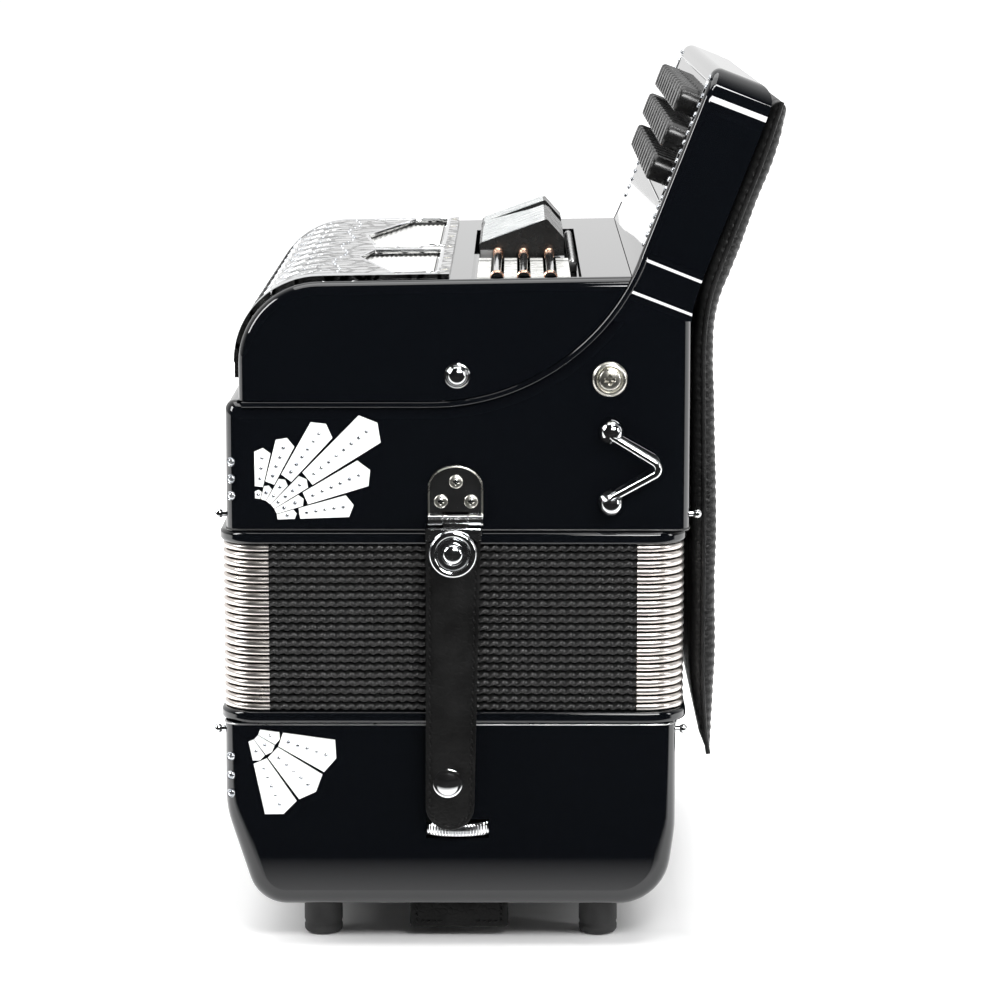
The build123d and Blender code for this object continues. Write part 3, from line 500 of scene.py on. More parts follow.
def bellows_cloth():
    """Zigzag wall whose fold crests are covered with twisted cord-like cloth."""
    loop = rounded_loop(*BELLOWS_HALF, CORNER_R, ROPE_PITCH / TWIST_STEPS)
    twist = len(loop) / round(len(loop) / TWIST_STEPS)
    crest = ((-1.32, 3.2), (-1.05, 1.7), (-0.6, 1.05), (0.0, 0.85), (0.6, 1.05), (1.05, 1.7), (1.32, 3.2))
    rows = []

    def ring(depth_at, height_at):
        row = []
        for k, (x, y, nx, ny) in enumerate(loop):
            phase = 2 * pi * k / twist
            depth, z = depth_at(phase), height_at(phase)
            row.append(at(x - nx * depth, y - ny * depth, z))
        rows.append(row)

    for fold in range(FOLDS):
        low = BELLOWS_Z[0] + fold * FOLD_STEP
        middle = low + FOLD_STEP / 2
        ring(lambda p: VALLEY, lambda p: low)
        for dz, depth in crest:
            lean = 2.3 * dz
            ring(
                lambda p: depth - 0.85 * (1 - abs(sin((p - lean) / 2)) ** 1.6),
                lambda p: middle + dz + 0.16 * sin(p),
            )
    ring(lambda p: VALLEY, lambda p: BELLOWS_Z[1])
    piece = Mesher()
    piece.grid(rows, close=True)
    look = "bellows_cloth"
    cloth = piece.build("bellows_folds", [look], slot=look, replaces=["bellows"], sharp=80)
    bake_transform(cloth)


def corner_guards():
    """Nickel guards, one set of four for each fold, bent round the corners."""
    half, swell, run = 1.3, 0.9, 3.6    # half height, bulge and straight ends
    section = [
        (-half * cos(a), swell * (1 - sin(a)))
        for a in (pi * k / 12 for k in range(13))
    ] + [(half, swell + 0.5), (-half, swell + 0.5)]
    turns = [radians(a) for a in range(0, 91, 6)]
    for fold in range(FOLDS):
        middle = BELLOWS_Z[0] + (fold + 0.5) * FOLD_STEP
        piece = Mesher()
        for sx in (1, -1):
            for sy in (1, -1):
                cx, cy = sx * (BELLOWS_HALF[0] - CORNER_R), sy * (BELLOWS_HALF[1] - CORNER_R)
                rows = []
                for dz, depth in section[::sx * sy]:
                    r = CORNER_R - depth
                    line = [(r, -run), (r, -run / 2), *arc(r, turns), (-run / 2, r), (-run, r)]
                    rows.append([at(cx + sx * u, cy + sy * v, middle + dz) for u, v in line])
                piece.grid(rows, wrap=True)
                count = len(line)
                first = [len(piece.points) - count * (i + 1) for i in reversed(range(len(rows)))]
                piece.faces += [first, [i + count - 1 for i in reversed(first)]]
                piece.tones += [0, 0]
        name = "bellows_guard_%02d" % (fold + 1)
        guard = piece.build(name, ["guard_metal"], slot="nickel", replaces=["bellows_corners"])
        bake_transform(guard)


def frame_trims():
    """Thin bright line under the bass frame and a fainter one above the bellows."""
    for name, z, look, body, (left, right) in (
        ("trim_bass", 94.3, "steel", "bass_end", BASS_X),
        ("trim_treble", 174.9, "black_metal", "treble_end", TREBLE_X),
    ):
        piece = Mesher()
        loop = rounded_loop((right - left) / 2 + 0.1, CASE_Y + 0.1, EDGE_R, 4.0)
        piece.tube([at(x + (left + right) / 2, y, z) for x, y, _, _ in loop], 0.4, closed=True)
        piece.build(name, [look], body, "chrome")


# ---- bellows straps
STRAP_Y = 153.1                # inner face of the straps
STRAP_THICK = 2.5


def strap_outline():
    """Closed outline of the strap in X and Z: wide at the hinge, rounded at the foot."""
    top_z, round_z, foot_z = 176.2, 61.5, 51.8
    shares = [i / 44 for i in range(45)]
    left = [(-10.9 - 0.3 * t, top_z + (round_z - top_z) * t) for t in shares]
    right = [(11.4 - 2.7 * t, top_z + (round_z - top_z) * t) for t in shares]
    middle, half = (left[-1][0] + right[-1][0]) / 2, (right[-1][0] - left[-1][0]) / 2
    turns = [pi + pi * i / 24 for i in range(1, 24)]
    foot = [(middle + half * cos(a), round_z + (round_z - foot_z) * sin(a)) for a in turns]
    return left + foot + right[::-1]


def inset_loop(points, amount):
    """Move each point of a closed outline inward along its normal."""
    found = []
    for i, (x, z) in enumerate(points):
        ax, az = points[i - 1]
        bx, bz = points[(i + 1) % len(points)]
        dx, dz = bx - ax, bz - az
        length = hypot(dx, dz) or 1.0
        found.append((x - dz / length * amount, z + dx / length * amount))
    return found


def leather_strap(side, end):
    """Leather strap with a pale cut edge, a stitched groove and a slightly domed middle."""
    seam_inset, first_stitch, pitch = 1.75, 2.0, 3.3
    outline = strap_outline()
    rings = (
        (0.0, -STRAP_THICK), (0.0, 0.25 - STRAP_THICK), (0.0, -0.45), (0.15, -0.15), (0.65, 0),
        (1.3, 0), (seam_inset, -0.28), (2.15, 0), (3.2, 0.12), (5.5, 0.3),
    )
    rows = []
    for inset, rise in rings:
        y = side * (STRAP_Y + (STRAP_THICK + rise))
        rows.append([at(x, y, z) for x, z in inset_loop(outline, inset)])
    piece = Mesher()
    piece.grid(rows, close=True, tones=[1, 1, 1, 1, 0, 0, 0, 0, 0])
    piece.cap_ends(rows)
    if side == FAR:
        piece.flip()
    spots = []
    seam = inset_loop(outline, seam_inset)
    travelled, wanted = 0.0, first_stitch
    for (x0, z0), (x1, z1) in zip(seam, seam[1:]):
        length = hypot(x1 - x0, z1 - z0)
        while travelled + length >= wanted:
            t = (wanted - travelled) / max(length, 1e-6)
            spot = at(x0 + (x1 - x0) * t, side * (STRAP_Y + STRAP_THICK - 0.12), z0 + (z1 - z0) * t)
            spots.append(turned(spot, Vector((x1 - x0, 0, z1 - z0)).normalized(), Vector((0, side, 0))))
            wanted += pitch
        travelled += length
    stitches(piece, spots, tone=2)
    piece.build(
        "leather_strap_" + end, ["black_leather", "raw_edge", "thread"],
        "strap_" + end, "black_leather", ["bellows_strap_" + end],
    )


def strap_metalwork(side, end):
    """Hinge leaf, crimped bar, ring with its domed rivet, and the snap cap."""
    piece = Mesher()
    outer = STRAP_Y + STRAP_THICK
    axle = frame_at(at(-3.9, side * 150.6, 179.3), (1, 0, 0))
    piece.lathe([(1.3, 0), (2.3, 0), (2.5, 0.2), (2.5, 9.8), (2.3, 10.0), (1.3, 10.0)], axle, 24)
    face = near_spot(0, 0, 0, side)
    if side == FAR:
        face = face @ Matrix.Scale(-1, 4, (1, 0, 0))
    add_box(piece, -3.9, 6.1, 160.5, 178.6, STRAP_Y - 0.9, STRAP_Y - 0.05, 0.25, face)
    add_box(piece, -11.2, 11.7, 171.6, 176.6, STRAP_Y - 0.9, outer + 0.2, 0.5, face, 2)
    for i in range(5):
        dot = near_spot(-8.2 + 4.2 * i, 175.6, outer + 0.15, side)
        piece.lathe([(0.75, 0), (0.7, 0.12), (0.0, 0.05)], dot, 12, 1)
    ring = [
        (9.7, 0), (9.9, 0.6), (9.5, 1.5), (8.7, 2.1), (7.8, 2.1), (7.0, 1.5), (6.5, 0.7), (6.1, 0.35),
        (5.0, 0.3), (4.6, 0.5), (4.4, 1.3), (3.9, 2.2), (3.0, 2.9), (1.8, 3.35), (0.8, 3.5), (0.0, 3.52),
    ]
    piece.lathe(ring, near_spot(0.1, 166.2, outer, side), 56)
    cap = [(5.9, 0), (6.1, 0.35), (5.95, 0.8), (5.3, 1.15), (4.9, 1.1), (4.3, 1.35), (3.0, 1.75), (1.5, 2.0)]
    snap = near_spot(-2.2, 71.5, outer, side)
    piece.lathe(cap + [(0, 2.08)], snap, 48, 1)
    piece.lathe([(4.6, -3.1), (4.6, -2.7), (2.8, -2.6), (2.8, -2.5)], snap, 24, 1)
    piece.build(
        "strap_metal_" + end, ["chrome", "nickel_screw", "nickel"],
        "strap_" + end, "chrome", ["strap_fittings_" + end],
    )


def hinge_screws():
    """Three screws and a thin chrome arch on each hinge plate."""
    middle, half, low_z, arch_z, rise = 1.1, 10.8, 180.0, 192.4, 8.7
    turns = [pi * k / 20 for k in range(1, 20)]
    arch = [(middle - half, low_z), (middle - half, arch_z)]
    arch += [(middle - half * cos(a), arch_z + rise * sin(a)) for a in turns]
    arch += [(middle + half, arch_z), (middle + half, low_z)]
    for side, end in ENDS:
        piece = Mesher()
        for x, z in ((1.3, 194.9), (-4.8, 186.9), (7.4, 186.9)):
            phillips(piece, near_spot(x, z, CASE_Y + 1.4, side), 2.75, 1.3)
        piece.tube([at(x, side * (CASE_Y + 1.35), z) for x, z in arch], 0.42, tone=1)
        piece.build("hinge_screws_" + end, ["nickel_screw", "chrome"], "treble_end", "nickel")


# ---- screws on the cases
def case_screws():
    """A domed screw and a cupped cross-head screw on each end of the treble case."""
    dome = [(5.1, 0), (5.1, 0.4), (4.7, 0.7), (4.3, 0.75), (4.1, 1.2), (3.6, 2.1), (2.7, 2.8), (1.4, 3.25)]
    cup = [(7.0, 0), (7.1, 0.4), (6.7, 1.0), (6.0, 1.5), (5.4, 1.6), (4.9, 1.1), (4.6, 0.9), (4.0, 0.9)]
    cup_spot = (63.4, 236.5)
    for side, end in ENDS:
        piece = Mesher()
        piece.lathe(dome + [(0, 3.4)], near_spot(1.8, 238.0, CASE_Y, side), 40)
        piece.build("dome_screw_" + end, ["chrome"], "treble_end", "chrome", ["treble_screws"])
        piece = Mesher()
        piece.lathe(cup, near_spot(*cup_spot, CASE_Y, side), 48)
        phillips(piece, near_spot(*cup_spot, CASE_Y + 0.8, side), 4.3, 1.9, 0.5)
        piece.build("cup_screw_" + end, ["nickel_screw"], "treble_end", "nickel", ["treble_screws"])


# ---- ornaments and crystals
def blade_stones(mesher, centre, a0, a1, r0, r1, side, pitch=3.6):
    """Stones set along the middle of an inlay blade."""
    middle = radians((a0 + a1) / 2)
    count = max(1, int((r1 - r0 - 1.6) / pitch))
    for i in range(count):
        r = r0 + (i + 0.75) * (r1 - r0) / (count + 0.3)
        x, z = centre[0] + r * cos(middle), centre[1] + r * sin(middle)
        gem(mesher, near_spot(x, z, CASE_Y + 0.8, side), 0.85, 0.5)


def ornament_stones():
    """Stones on the inlay fans: split blades on the treble case, split rays on the bass case."""
    treble_centre, bass_centre = (-80.0, 179.0), (-85.0, 93.0)
    for side, end in ENDS:
        piece = Mesher()
        for i, length in enumerate((38.0, 48.0, 60.0, 46.0, 34.0, 28.0)):
            start = 2 + 15 * i
            split = length * 0.42
            for r0, r1 in ((9, split), (split + 2.2, length)):
                blade_stones(piece, treble_centre, start, start + 13.5, r0, r1, side)
        piece.build("treble_stones_" + end, ["crystal"], "treble_end", "white_inlay")
        piece = Mesher()
        for i in range(3):
            for r0, r1 in ((6.0, 14.0), (15.5, 37.0)):
                blade_stones(piece, bass_centre, -78 + 24 * i, -56 + 24 * i, r0, r1, side)
        piece.build("bass_stones_" + end, ["crystal"], "bass_end", "white_inlay")


def corner_stones():
    """Cut stones in small cups on the rounded front corners, over the plain CAD domes."""
    turn, edge = radians(40.0), EDGE_R
    for name, left, heights, body in (
        ("treble_corner_stones", TREBLE_X[0], (202.6, 195.6, 188.7), "treble_end"),
        ("bass_corner_stones", BASS_X[0], (80.6, 72.7, 65.1), "bass_end"),
    ):
        piece = Mesher()
        for side in (NEAR, FAR):
            for z in heights:
                out = Vector((-sin(turn), side * cos(turn), 0))
                spot = at(left + edge, side * (CASE_Y - edge), z) + out * (edge + 0.05) * MM
                matrix = frame_at(spot, out)
                piece.lathe([(1.9, -0.2), (1.95, 0.4), (1.7, 0.8), (1.45, 0.7)], matrix, 20, 1)
                gem(piece, matrix @ Matrix.Translation((0, 0, 0.4)), 1.5, 0.9)
        piece.build(name, ["crystal", "chrome"], body, "chrome")


# ---- grille
CROWN_LEFT, CROWN_TOP, CROWN_SLOPE, CROWN_R = -86.7, 275.0, 0.0165, 33.0
CROWN_LOW = 236.0


def crown_spot(t, out=0.0):
    """Point and outward direction on the cover's crown; t is the distance from CROWN_LOW upward."""
    slope = atan(CROWN_SLOPE)
    start = CROWN_TOP - CROWN_R - CROWN_LOW
    bend = CROWN_R * (pi / 2 - slope)
    cx, cz = CROWN_LEFT + CROWN_R, CROWN_LOW + start
    if t < start:
        return CROWN_LEFT - out, CROWN_LOW + t, -1.0, 0.0
    if t < start + bend:
        a = (t - start) / CROWN_R
        nx, nz = -cos(a), sin(a)
        return cx + (CROWN_R + out) * nx, cz + (CROWN_R + out) * nz, nx, nz
    run = t - start - bend
    nx, nz = -sin(slope), cos(slope)
    x0, z0 = cx + (CROWN_R + out) * nx, cz + (CROWN_R + out) * nz
    return x0 + run * cos(slope), z0 + run * sin(slope), nx, nz


def crown_t_of_x(x):
    """Distance along the crown of a place on its top at this X."""
    low, high = 0.0, 160.0
    for _ in range(40):
        middle = (low + high) / 2
        if crown_spot(middle)[0] < x:
            low = middle
        else:
            high = middle
    return low


def on_crown(t, y, out):
    x, z, _, _ = crown_spot(t, out)
    return at(x, y, z)


def crown_frame(t, y, out=1.8):
    _, _, nx, nz = crown_spot(t, out)
    return frame_at(on_crown(t, y, out), (nx, 0, nz), (0, 1, 0))


def ribbed_cloth():
    """Pale cloth under the grille with fine ribs along the instrument."""
    pitch, steps, half, columns = 2.1, 6, 133.5, 40
    t0, t1 = 5.0, crown_t_of_x(-8.6)
    count = round((t1 - t0) / pitch) * steps
    rows = []
    for i in range(count + 1):
        t = t0 + (t1 - t0) * i / count
        out = -0.85 + 0.28 * cos(2 * pi * i / steps)
        rows.append([
            on_crown(t, -half + 2 * half * k / columns, out + 0.05 * sin(k * 1.9))
            for k in range(columns + 1)
        ])
    piece = Mesher()
    piece.grid(rows)
    piece.build("grille_fabric", ["grille_cloth"], "treble_end", "grille_cloth", ["grille_cloth"], 80)


def curve_through(points, steps=10, closed=False):
    """Smooth curve through points of a plane."""
    count = len(points)
    found = []
    for i in range(count if closed else count - 1):
        near = range(i - 1, i + 3)
        p = [points[k % count] if closed else points[min(max(k, 0), count - 1)] for k in near]
        for s in range(steps):
            t = s / steps
            found.append(tuple(
                0.5 * (2 * p[1][d] + (p[2][d] - p[0][d]) * t
                       + (2 * p[0][d] - 5 * p[1][d] + 4 * p[2][d] - p[3][d]) * t * t
                       + (3 * p[1][d] - p[0][d] - 3 * p[2][d] + p[3][d]) * t ** 3)
                for d in range(2)
            ))
    if not closed:
        found.append(points[-1])
    return found


def grille_relief():
    """Raised beads, leaves and crystals on the pierced chrome grille."""
    beads, stones = Mesher(), Mesher()

    def bead(points, radius=0.8, closed=True, out=1.9, steps=8):
        line = curve_through(points, steps, closed)
        beads.tube([on_crown(t, y, out) for t, y in line], radius, 6, closed=closed)

    windows = (
        [(-6, -130), (-24, -133), (-41, -58), (-36, -26), (-6, -26)],
        [(-6, -7), (-36, -7), (-42, 48), (-22, 133), (-6, 133)],
    )
    for corners in windows:
        loop = []
        for (x0, y0), (x1, y1) in zip(corners, corners[1:] + corners[:1]):
            loop += [(crown_t_of_x(x0 + (x1 - x0) * k / 6), y0 + (y1 - y0) * k / 6) for k in range(6)]
        beads.tube([on_crown(t, y, 1.9) for t, y in loop], 0.9, 6, closed=True)
    half_leaf = ((7, 8.6), (20, 7.4), (31.5, 4.5))
    leaf_stones = (
        (1.2, 0), (4.5, 11.5), (12, 12.5), (19.5, 12.5), (27, 12.5), (34.5, 12.3), (42, 11.8), (50, 10.5),
        (39.5, 0),
    )
    for i in range(10):
        y = -112 + 25 * i
        leaf = [(3.5, y)] + [(t, y + dy) for t, dy in half_leaf]
        leaf += [(36, y)] + [(t, y - dy) for t, dy in reversed(half_leaf)]
        bead(leaf, 0.75)
        for sign in (1, -1):
            bead([(39.5, y), (46, y + 7 * sign), (56, y + 4.5 * sign), (60, y)], 0.7, closed=False)
        bead([(41, y), (50, y), (58, y)], 0.5, closed=False)
        for t, dy in leaf_stones:
            if abs(y + dy) < 136:
                gem(stones, crown_frame(t, y + dy), 1.25, 0.9)
    edge_t = crown_t_of_x(-6.0)
    for side in (NEAR, FAR):
        for k, (start, stop) in enumerate(((136.5, 137.2), (133.6, 136.0), (130.6, 134.6))):
            line = (6 + 4 * k, start - 1), (34, start), (70, start + 0.4), (edge_t, stop)
            bead([(t, side * y) for t, y in line], 0.8, closed=False, out=1.8, steps=14)
    for i in range(26):
        gem(stones, crown_frame(62.5 + 2.0 * sin(i * 0.9), -130 + 10.4 * i), 1.15, 0.85)
    for x in (-4.9, -1.9):
        t = crown_t_of_x(x)
        beads.tube([on_crown(t, y, 1.8) for y in (-138.5, -70, 0, 70, 138.5)], 0.45, 6)
    beads.build("grille_relief", ["chrome"], "treble_end", "chrome")
    stones.build("grille_stones", ["crystal"], "treble_end", "chrome")
    screws = Mesher()
    for y in (-120, -68, -16, 36, 88, 128):
        phillips(screws, crown_frame(crown_t_of_x(-3.4), y, 1.85), 1.6, 0.8)
    screws.build("grille_screws", ["nickel_screw"], "treble_end", "chrome", ["treble_screws"])


# ---- fingerboard
LEAN = radians(21.4)
BASE_X, BASE_Z = 75.2, 284.1
BUTTON_ROWS = ((35.0, 11), (50.0, 12), (65.0, 11))


def board_xz(along, into):
    """X and Z of a place so far up the leaning board and so deep behind its face."""
    return (
        BASE_X + along * sin(LEAN) + into * cos(LEAN),
        BASE_Z + along * cos(LEAN) - into * sin(LEAN),
    )


def on_board(y, along, into):
    x, z = board_xz(along, into)
    return at(x, y, z)


def board_frame(y, along, into):
    out = Vector((-cos(LEAN), 0, sin(LEAN)))
    return frame_at(on_board(y, along, into), out, (0, 1, 0))


def treble_buttons():
    """Turned buttons: black sleeve with a rounded shoulder and an inset pearl top."""
    sleeve = [(5.5, -4.9), (5.75, -4.6), (5.75, 5.6), (5.72, 6.6), (5.55, 7.2), (5.3, 7.45), (5.15, 7.4)]
    top = [(5.15, 7.4), (5.1, 7.75), (4.7, 8.0), (2.5, 8.1), (0, 8.12)]
    for row, (along, count) in enumerate(BUTTON_ROWS, 1):
        piece = Mesher()
        for i in range(count):
            matrix = board_frame(20.0 * (i - (count - 1) / 2), along, 0)
            piece.lathe(sleeve, matrix, 32)
            piece.lathe(top, matrix, 32, 1)
            piece.lathe([(0, -4.9), (5.5, -4.9)], matrix, 32)
        piece.build(
            "button_tops_%d" % row, ["black_button", "pearl"], "button_row_%d" % row, "black_button",
            ["treble_buttons_%d" % row],
        )


def board_trim():
    """Crystals along the board's near and far edges and a thin bead round its plate."""
    stones, bead = Mesher(), Mesher()
    for side in (NEAR, FAR):
        for i in range(19):
            gem(stones, board_frame(side * 130.5, 6 + 4.0 * i, 0), 1.25, 0.8)
    loop = rounded_loop(126.3, 26.3, 4.3, 3.0)
    bead.tube([on_board(x, 50 + y, 0.0) for x, y, _, _ in loop], 0.5, 6, closed=True)
    stones.build("board_stones", ["crystal"], "treble_end", "chrome")
    bead.build("board_bead", ["chrome"], "treble_end", "chrome")


def seam_rims():
    """Rounded rim of the lower case along the seam and its sweep up to the board."""
    sweep, seam_z, rim = 91.0, 227.3, 1.4
    corner_x = BASE_X - (BASE_Z - seam_z) * tan(LEAN)
    turn = pi / 2 - LEAN
    start_x = corner_x - sweep * tan(turn / 2)
    front_x = TREBLE_X[0] + EDGE_R
    line = [(front_x + k * (start_x - front_x) / 8, seam_z - rim) for k in range(8)]
    for k in range(41):
        a = turn * k / 40
        line.append((start_x + (sweep + rim) * sin(a), seam_z + sweep - (sweep + rim) * cos(a)))
    piece = Mesher()
    for side in (NEAR, FAR):
        piece.tube([at(x, side * (CASE_Y - 0.75), z) for x, z in line], rim, 16)
    piece.build("seam_rims", ["black_lacquer"], "treble_end", "black_lacquer")


# ---- registers
def registers():
    """Pale pearl faces with two dark grooves on top of each register paddle."""
    low, high, pivot = Vector((10.6, 0, 282.9)), Vector((38.2, 0, 292.9)), at(13.4, 0, 278.0)
    strips = ((0.8, 6.2), (8.2, 9.4), (11.0, 15.6), (17.2, 18.4), (20.2, 24.9))
    pressed, press = 3, radians(5.0)
    along = (high - low).normalized()
    out = Vector((-along.z, 0, along.x))
    for index in range(5):
        piece = Mesher()
        face = turned(at(low.x, -50.0 + 26.0 * index, low.z), along, out)
        for y0, y1 in strips:
            add_box(piece, 0.5, (high - low).length - 0.4, y0, y1, -0.25, 0.45, 0.2, face)
        if index == pressed:
            tilt = Matrix.Translation(pivot) @ Matrix.Rotation(press, 4, "Y") @ Matrix.Translation(-pivot)
            piece.points = [tilt @ point for point in piece.points]
        name = "register_%d" % (index + 1)
        piece.build(name.replace("_", "_face_"), ["pearl"], name, "black_button")


def well_details():
    """Beaded strip beside the registers, dark bands on the comb, copper collars on the rods."""
    beads = Mesher()
    for i in range(34):
        spot = frame_at(at(49.4, -56 + 4.1 * i, 275.2), (0, 0, 1), (0, 1, 0))
        beads.lathe([(1.75, 0), (1.7, 0.7), (1.2, 1.4), (0.5, 1.75), (0, 1.8)], spot, 12)
    beads.build("well_beads", ["steel"], "treble_end", "chrome")
    ledge = Mesher()
    add_box(ledge, 47.4, 51.4, -58.5, 82.5, 271.2, 275.2, 0.5, BODY)
    ledge.build("well_ledge", ["black_metal"], "treble_end", "black_metal")
    bands = Mesher()
    for x in (12.5, 23.3, 34.1, 44.9):
        add_box(bands, x - 2.8, x + 2.8, -75.2, -73.6, 271.2, 277.55, 0.15, BODY)
    bands.build("comb_bands", ["black_metal"], "treble_end", "black_metal")
    collars = Mesher()
    tilt, ball_r = radians(1.8), 2.35
    turns = [radians(a) for a in range(30, 181, 15)]
    for x in (17.9, 28.7, 39.5):
        rod = frame_at(at(x, -101, 277.6), (0, cos(tilt), sin(tilt)))
        collars.lathe([(1.9, 36.4), (2.1, 36.7), (2.1, 38.3), (1.9, 38.6)], rod, 24)
        collars.lathe([(ball_r * sin(a), 46 - ball_r * cos(a)) for a in turns], rod, 24)
        collars.lathe([(1.7, -31.2), (2.15, -31.0), (2.15, -30.2), (1.7, -30.0)], rod, 24, 1)
        collars.lathe([(2.5, -33.2), (2.9, -33.6), (2.9, -34.6), (2.5, -35.0)], rod, 24, 1)
    collars.build("rod_collars", ["copper", "steel"], "treble_end", "chrome")


# ---- back pad
def back_pad():
    """Quilted vinyl pad, gathered along its edges."""
    front = [board_xz(80.0, 28.0), board_xz(40, 28.0), board_xz(0, 28.0), (99.8, 266), (97.5, 245)]
    front += [(97.4, 180), (97.4, 110), (98.9, 97), (101.5, 86), (104.9, 77.6)]
    back = [board_xz(78.8, 34.0), board_xz(57, 37.0), board_xz(-9, 37.3), (106.0, 246), (107.2, 215)]
    back += [(108.2, 178), (107.9, 143), (107.7, 105), (107.2, 92), (105.8, 77.4)]

    def sample(points, share):
        """Place on a line of points, at a share of its length."""
        lengths = [dist(a, b) for a, b in zip(points, points[1:])]
        goal = share * sum(lengths)
        for (a, b), length in zip(zip(points, points[1:]), lengths):
            if goal <= length or b == points[-1]:
                t = min(1.0, goal / length)
                return Vector((a[0] + (b[0] - a[0]) * t, a[1] + (b[1] - a[1]) * t))
            goal -= length

    def eased(points, share):
        """The same place with the line's bends rounded off."""
        if not 0.04 < share < 0.96:
            return sample(points, share)
        spots = [sample(points, min(1.0, max(0.0, share + 0.0175 * k))) for k in range(-2, 3)]
        return sum(spots, Vector((0, 0))) / 5

    half, height = 127.0, 292.0
    rows_n, columns_n = 330, 150
    edge_round, seam_in, tile = 5.5, 15.0, 44.0    # rim radius, seam's distance from it, quilt size

    def line_of_grid(v, front_side):
        f, b = eased(front, v), eased(back, v)
        middle, reach = (f + b) / 2, (b - f) / 2
        up = v * height
        row = []
        for k in range(columns_n + 1):
            u = -1 + 2 * k / columns_n
            u = copysign(1 - (1 - abs(u)) ** 1.25, u)
            y = half * u
            rim = min(half - abs(y), up, (1 - v) * height)
            round_in = sqrt(max(0.0, 1 - (1 - min(1.0, rim / edge_round)) ** 2))
            seam = abs(rim - seam_in)
            wave = noise.noise((y * 0.09, up * 0.09, 3.0)) * 0.5
            along = up if half - abs(y) < min(v, 1 - v) * height else y
            gather = sin(along * 1.55 + 2.2 * noise.noise((along * 0.05, u * 2, 7.0)))
            if front_side:
                spot = middle - reach * round_in * (0.96 + 0.02 * wave)
            else:
                quilt = 1.0
                if rim > seam_in:
                    turns = ((y + up) / tile, (y - up) / tile)
                    quilt = 0.62 + 0.38 * smooth(min(abs(a - round(a)) * 2 for a in turns) / 0.55)
                channel = 0.45 + 0.55 * smooth(seam / 4.5)
                pucker = exp(-min(seam, rim + 2) / 5.0)
                swell = 1.3 * noise.noise((along * 0.035, 4.0, u))
                ripple = 1.15 * pucker * gather + wave * 0.6 + swell * exp(-rim / 25.0)
                spot = middle + reach * round_in * channel * quilt + Vector((0.55, 0)) * ripple * round_in
            frill = 0.28 * gather * exp(-rim / 3.0) * (1 if y > 0 else -1)
            row.append(at(spot.x, y + frill, spot.y))
        return row

    piece = Mesher()
    piece.grid([line_of_grid(i / rows_n, False) for i in range(rows_n + 1)])
    piece.grid([line_of_grid(i / rows_n, True)[::-1] for i in range(rows_n + 1)])
    pad = piece.build("back_cushion", ["pad_vinyl", "thread"], None, "pad_vinyl", ["back_pad"], 75)
    weld = pad.modifiers.new("weld", "WELD")
    weld.merge_threshold = 0.00005
    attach(pad, "treble_end")
    piping = Mesher()
    core = [(eased(front, i / 60) + eased(back, i / 60)) / 2 for i in range(61)]
    for side in (NEAR, FAR):
        path = [at(p.x, side * (half + 0.1 + 0.15 * sin(i * 1.3)), p.y) for i, p in enumerate(core)]
        piping.tube(path, 1.0, 8)
    piping.build("pad_piping", ["pad_vinyl"], "treble_end", "pad_vinyl")


# ---- bass end underside
def hand_strap():
    """Padded leather hand strap with stitched edges under the bass end."""
    piece = Mesher()
    middle, half, seam = 2.0, 20.0, 0.82
    flat_z, sag, span = 15.75, 9.35, 112.0
    across = [0, 0.3, 0.6, 0.77, seam, 0.87, 0.95, 0.985, 1]
    across = [-a for a in across[:0:-1]] + across

    def line(y):
        return flat_z - sag * (1 - (min(abs(y), span) / span) ** 2) if abs(y) < span else flat_z

    rows = []
    for i in range(141):
        y = -129 + 258 * i / 140
        taper = 1 - 0.08 * smooth((abs(y) - 100) / 25)
        lower, upper = [], []
        for a in across:
            swell = 0.35 + 0.65 * smooth((1 - abs(a)) / 0.05)
            groove = 0.28 * exp(-((abs(a) - seam) / 0.03) ** 2)
            pad = 0.5 * smooth((0.72 - abs(a)) / 0.3) * smooth((105 - abs(y)) / 20)
            lower.append(at(middle + half * a * taper, y, line(y) - 1.6 * swell + groove - pad))
            upper.append(at(middle + half * a * taper, y, line(y) + 1.6 * swell))
        rows.append(lower + upper[::-1])
    piece.grid(rows, close=True)
    piece.flip()
    piece.cap_ends(rows)
    spots = []
    for sign in (-1, 1):
        for i in range(72):
            y = -126 + 252 * i / 71
            slope = line(y + 0.5) - line(y - 0.5)
            place = at(middle + sign * half * seam, y, line(y) - 1.45)
            along, out = Vector((0, 1, slope)).normalized(), Vector((0, slope, -1)).normalized()
            spots.append(turned(place, along, out))
    stitches(piece, spots, tone=1)
    looks = ["black_leather", "thread"]
    piece.build("hand_strap", looks, "bass_end", "black_leather", ["bass_hand_strap"])


def strap_end_wraps():
    """Stitched leather wraps over the blocks that hold the hand strap's ends."""
    piece = Mesher()
    for side in (NEAR, FAR):
        y0, y1 = sorted((side * 131.4, side * 118.6))
        add_box(piece, -18.5, 22.5, y0, y1, 4.2, 17.4, 1.6, BODY)
        spots = []
        for x, step in ((-15.6, 2.4), (19.6, -2.4)):
            spots += [(x, 7.2 + 2.4 * i, (0, 0, 1)) for i in range(4)]
            spots += [(x + step * i, 6.9, (1, 0, 0)) for i in range(1, 5)]
        places = [turned(at(x, side * 131.3, z), Vector(run), Vector((0, side, 0))) for x, z, run in spots]
        stitches(piece, places, tone=1, length=1.9)
    looks = ["black_leather", "thread"]
    piece.build("strap_end_wraps", looks, "bass_end", "black_leather", ["strap_clamps"])


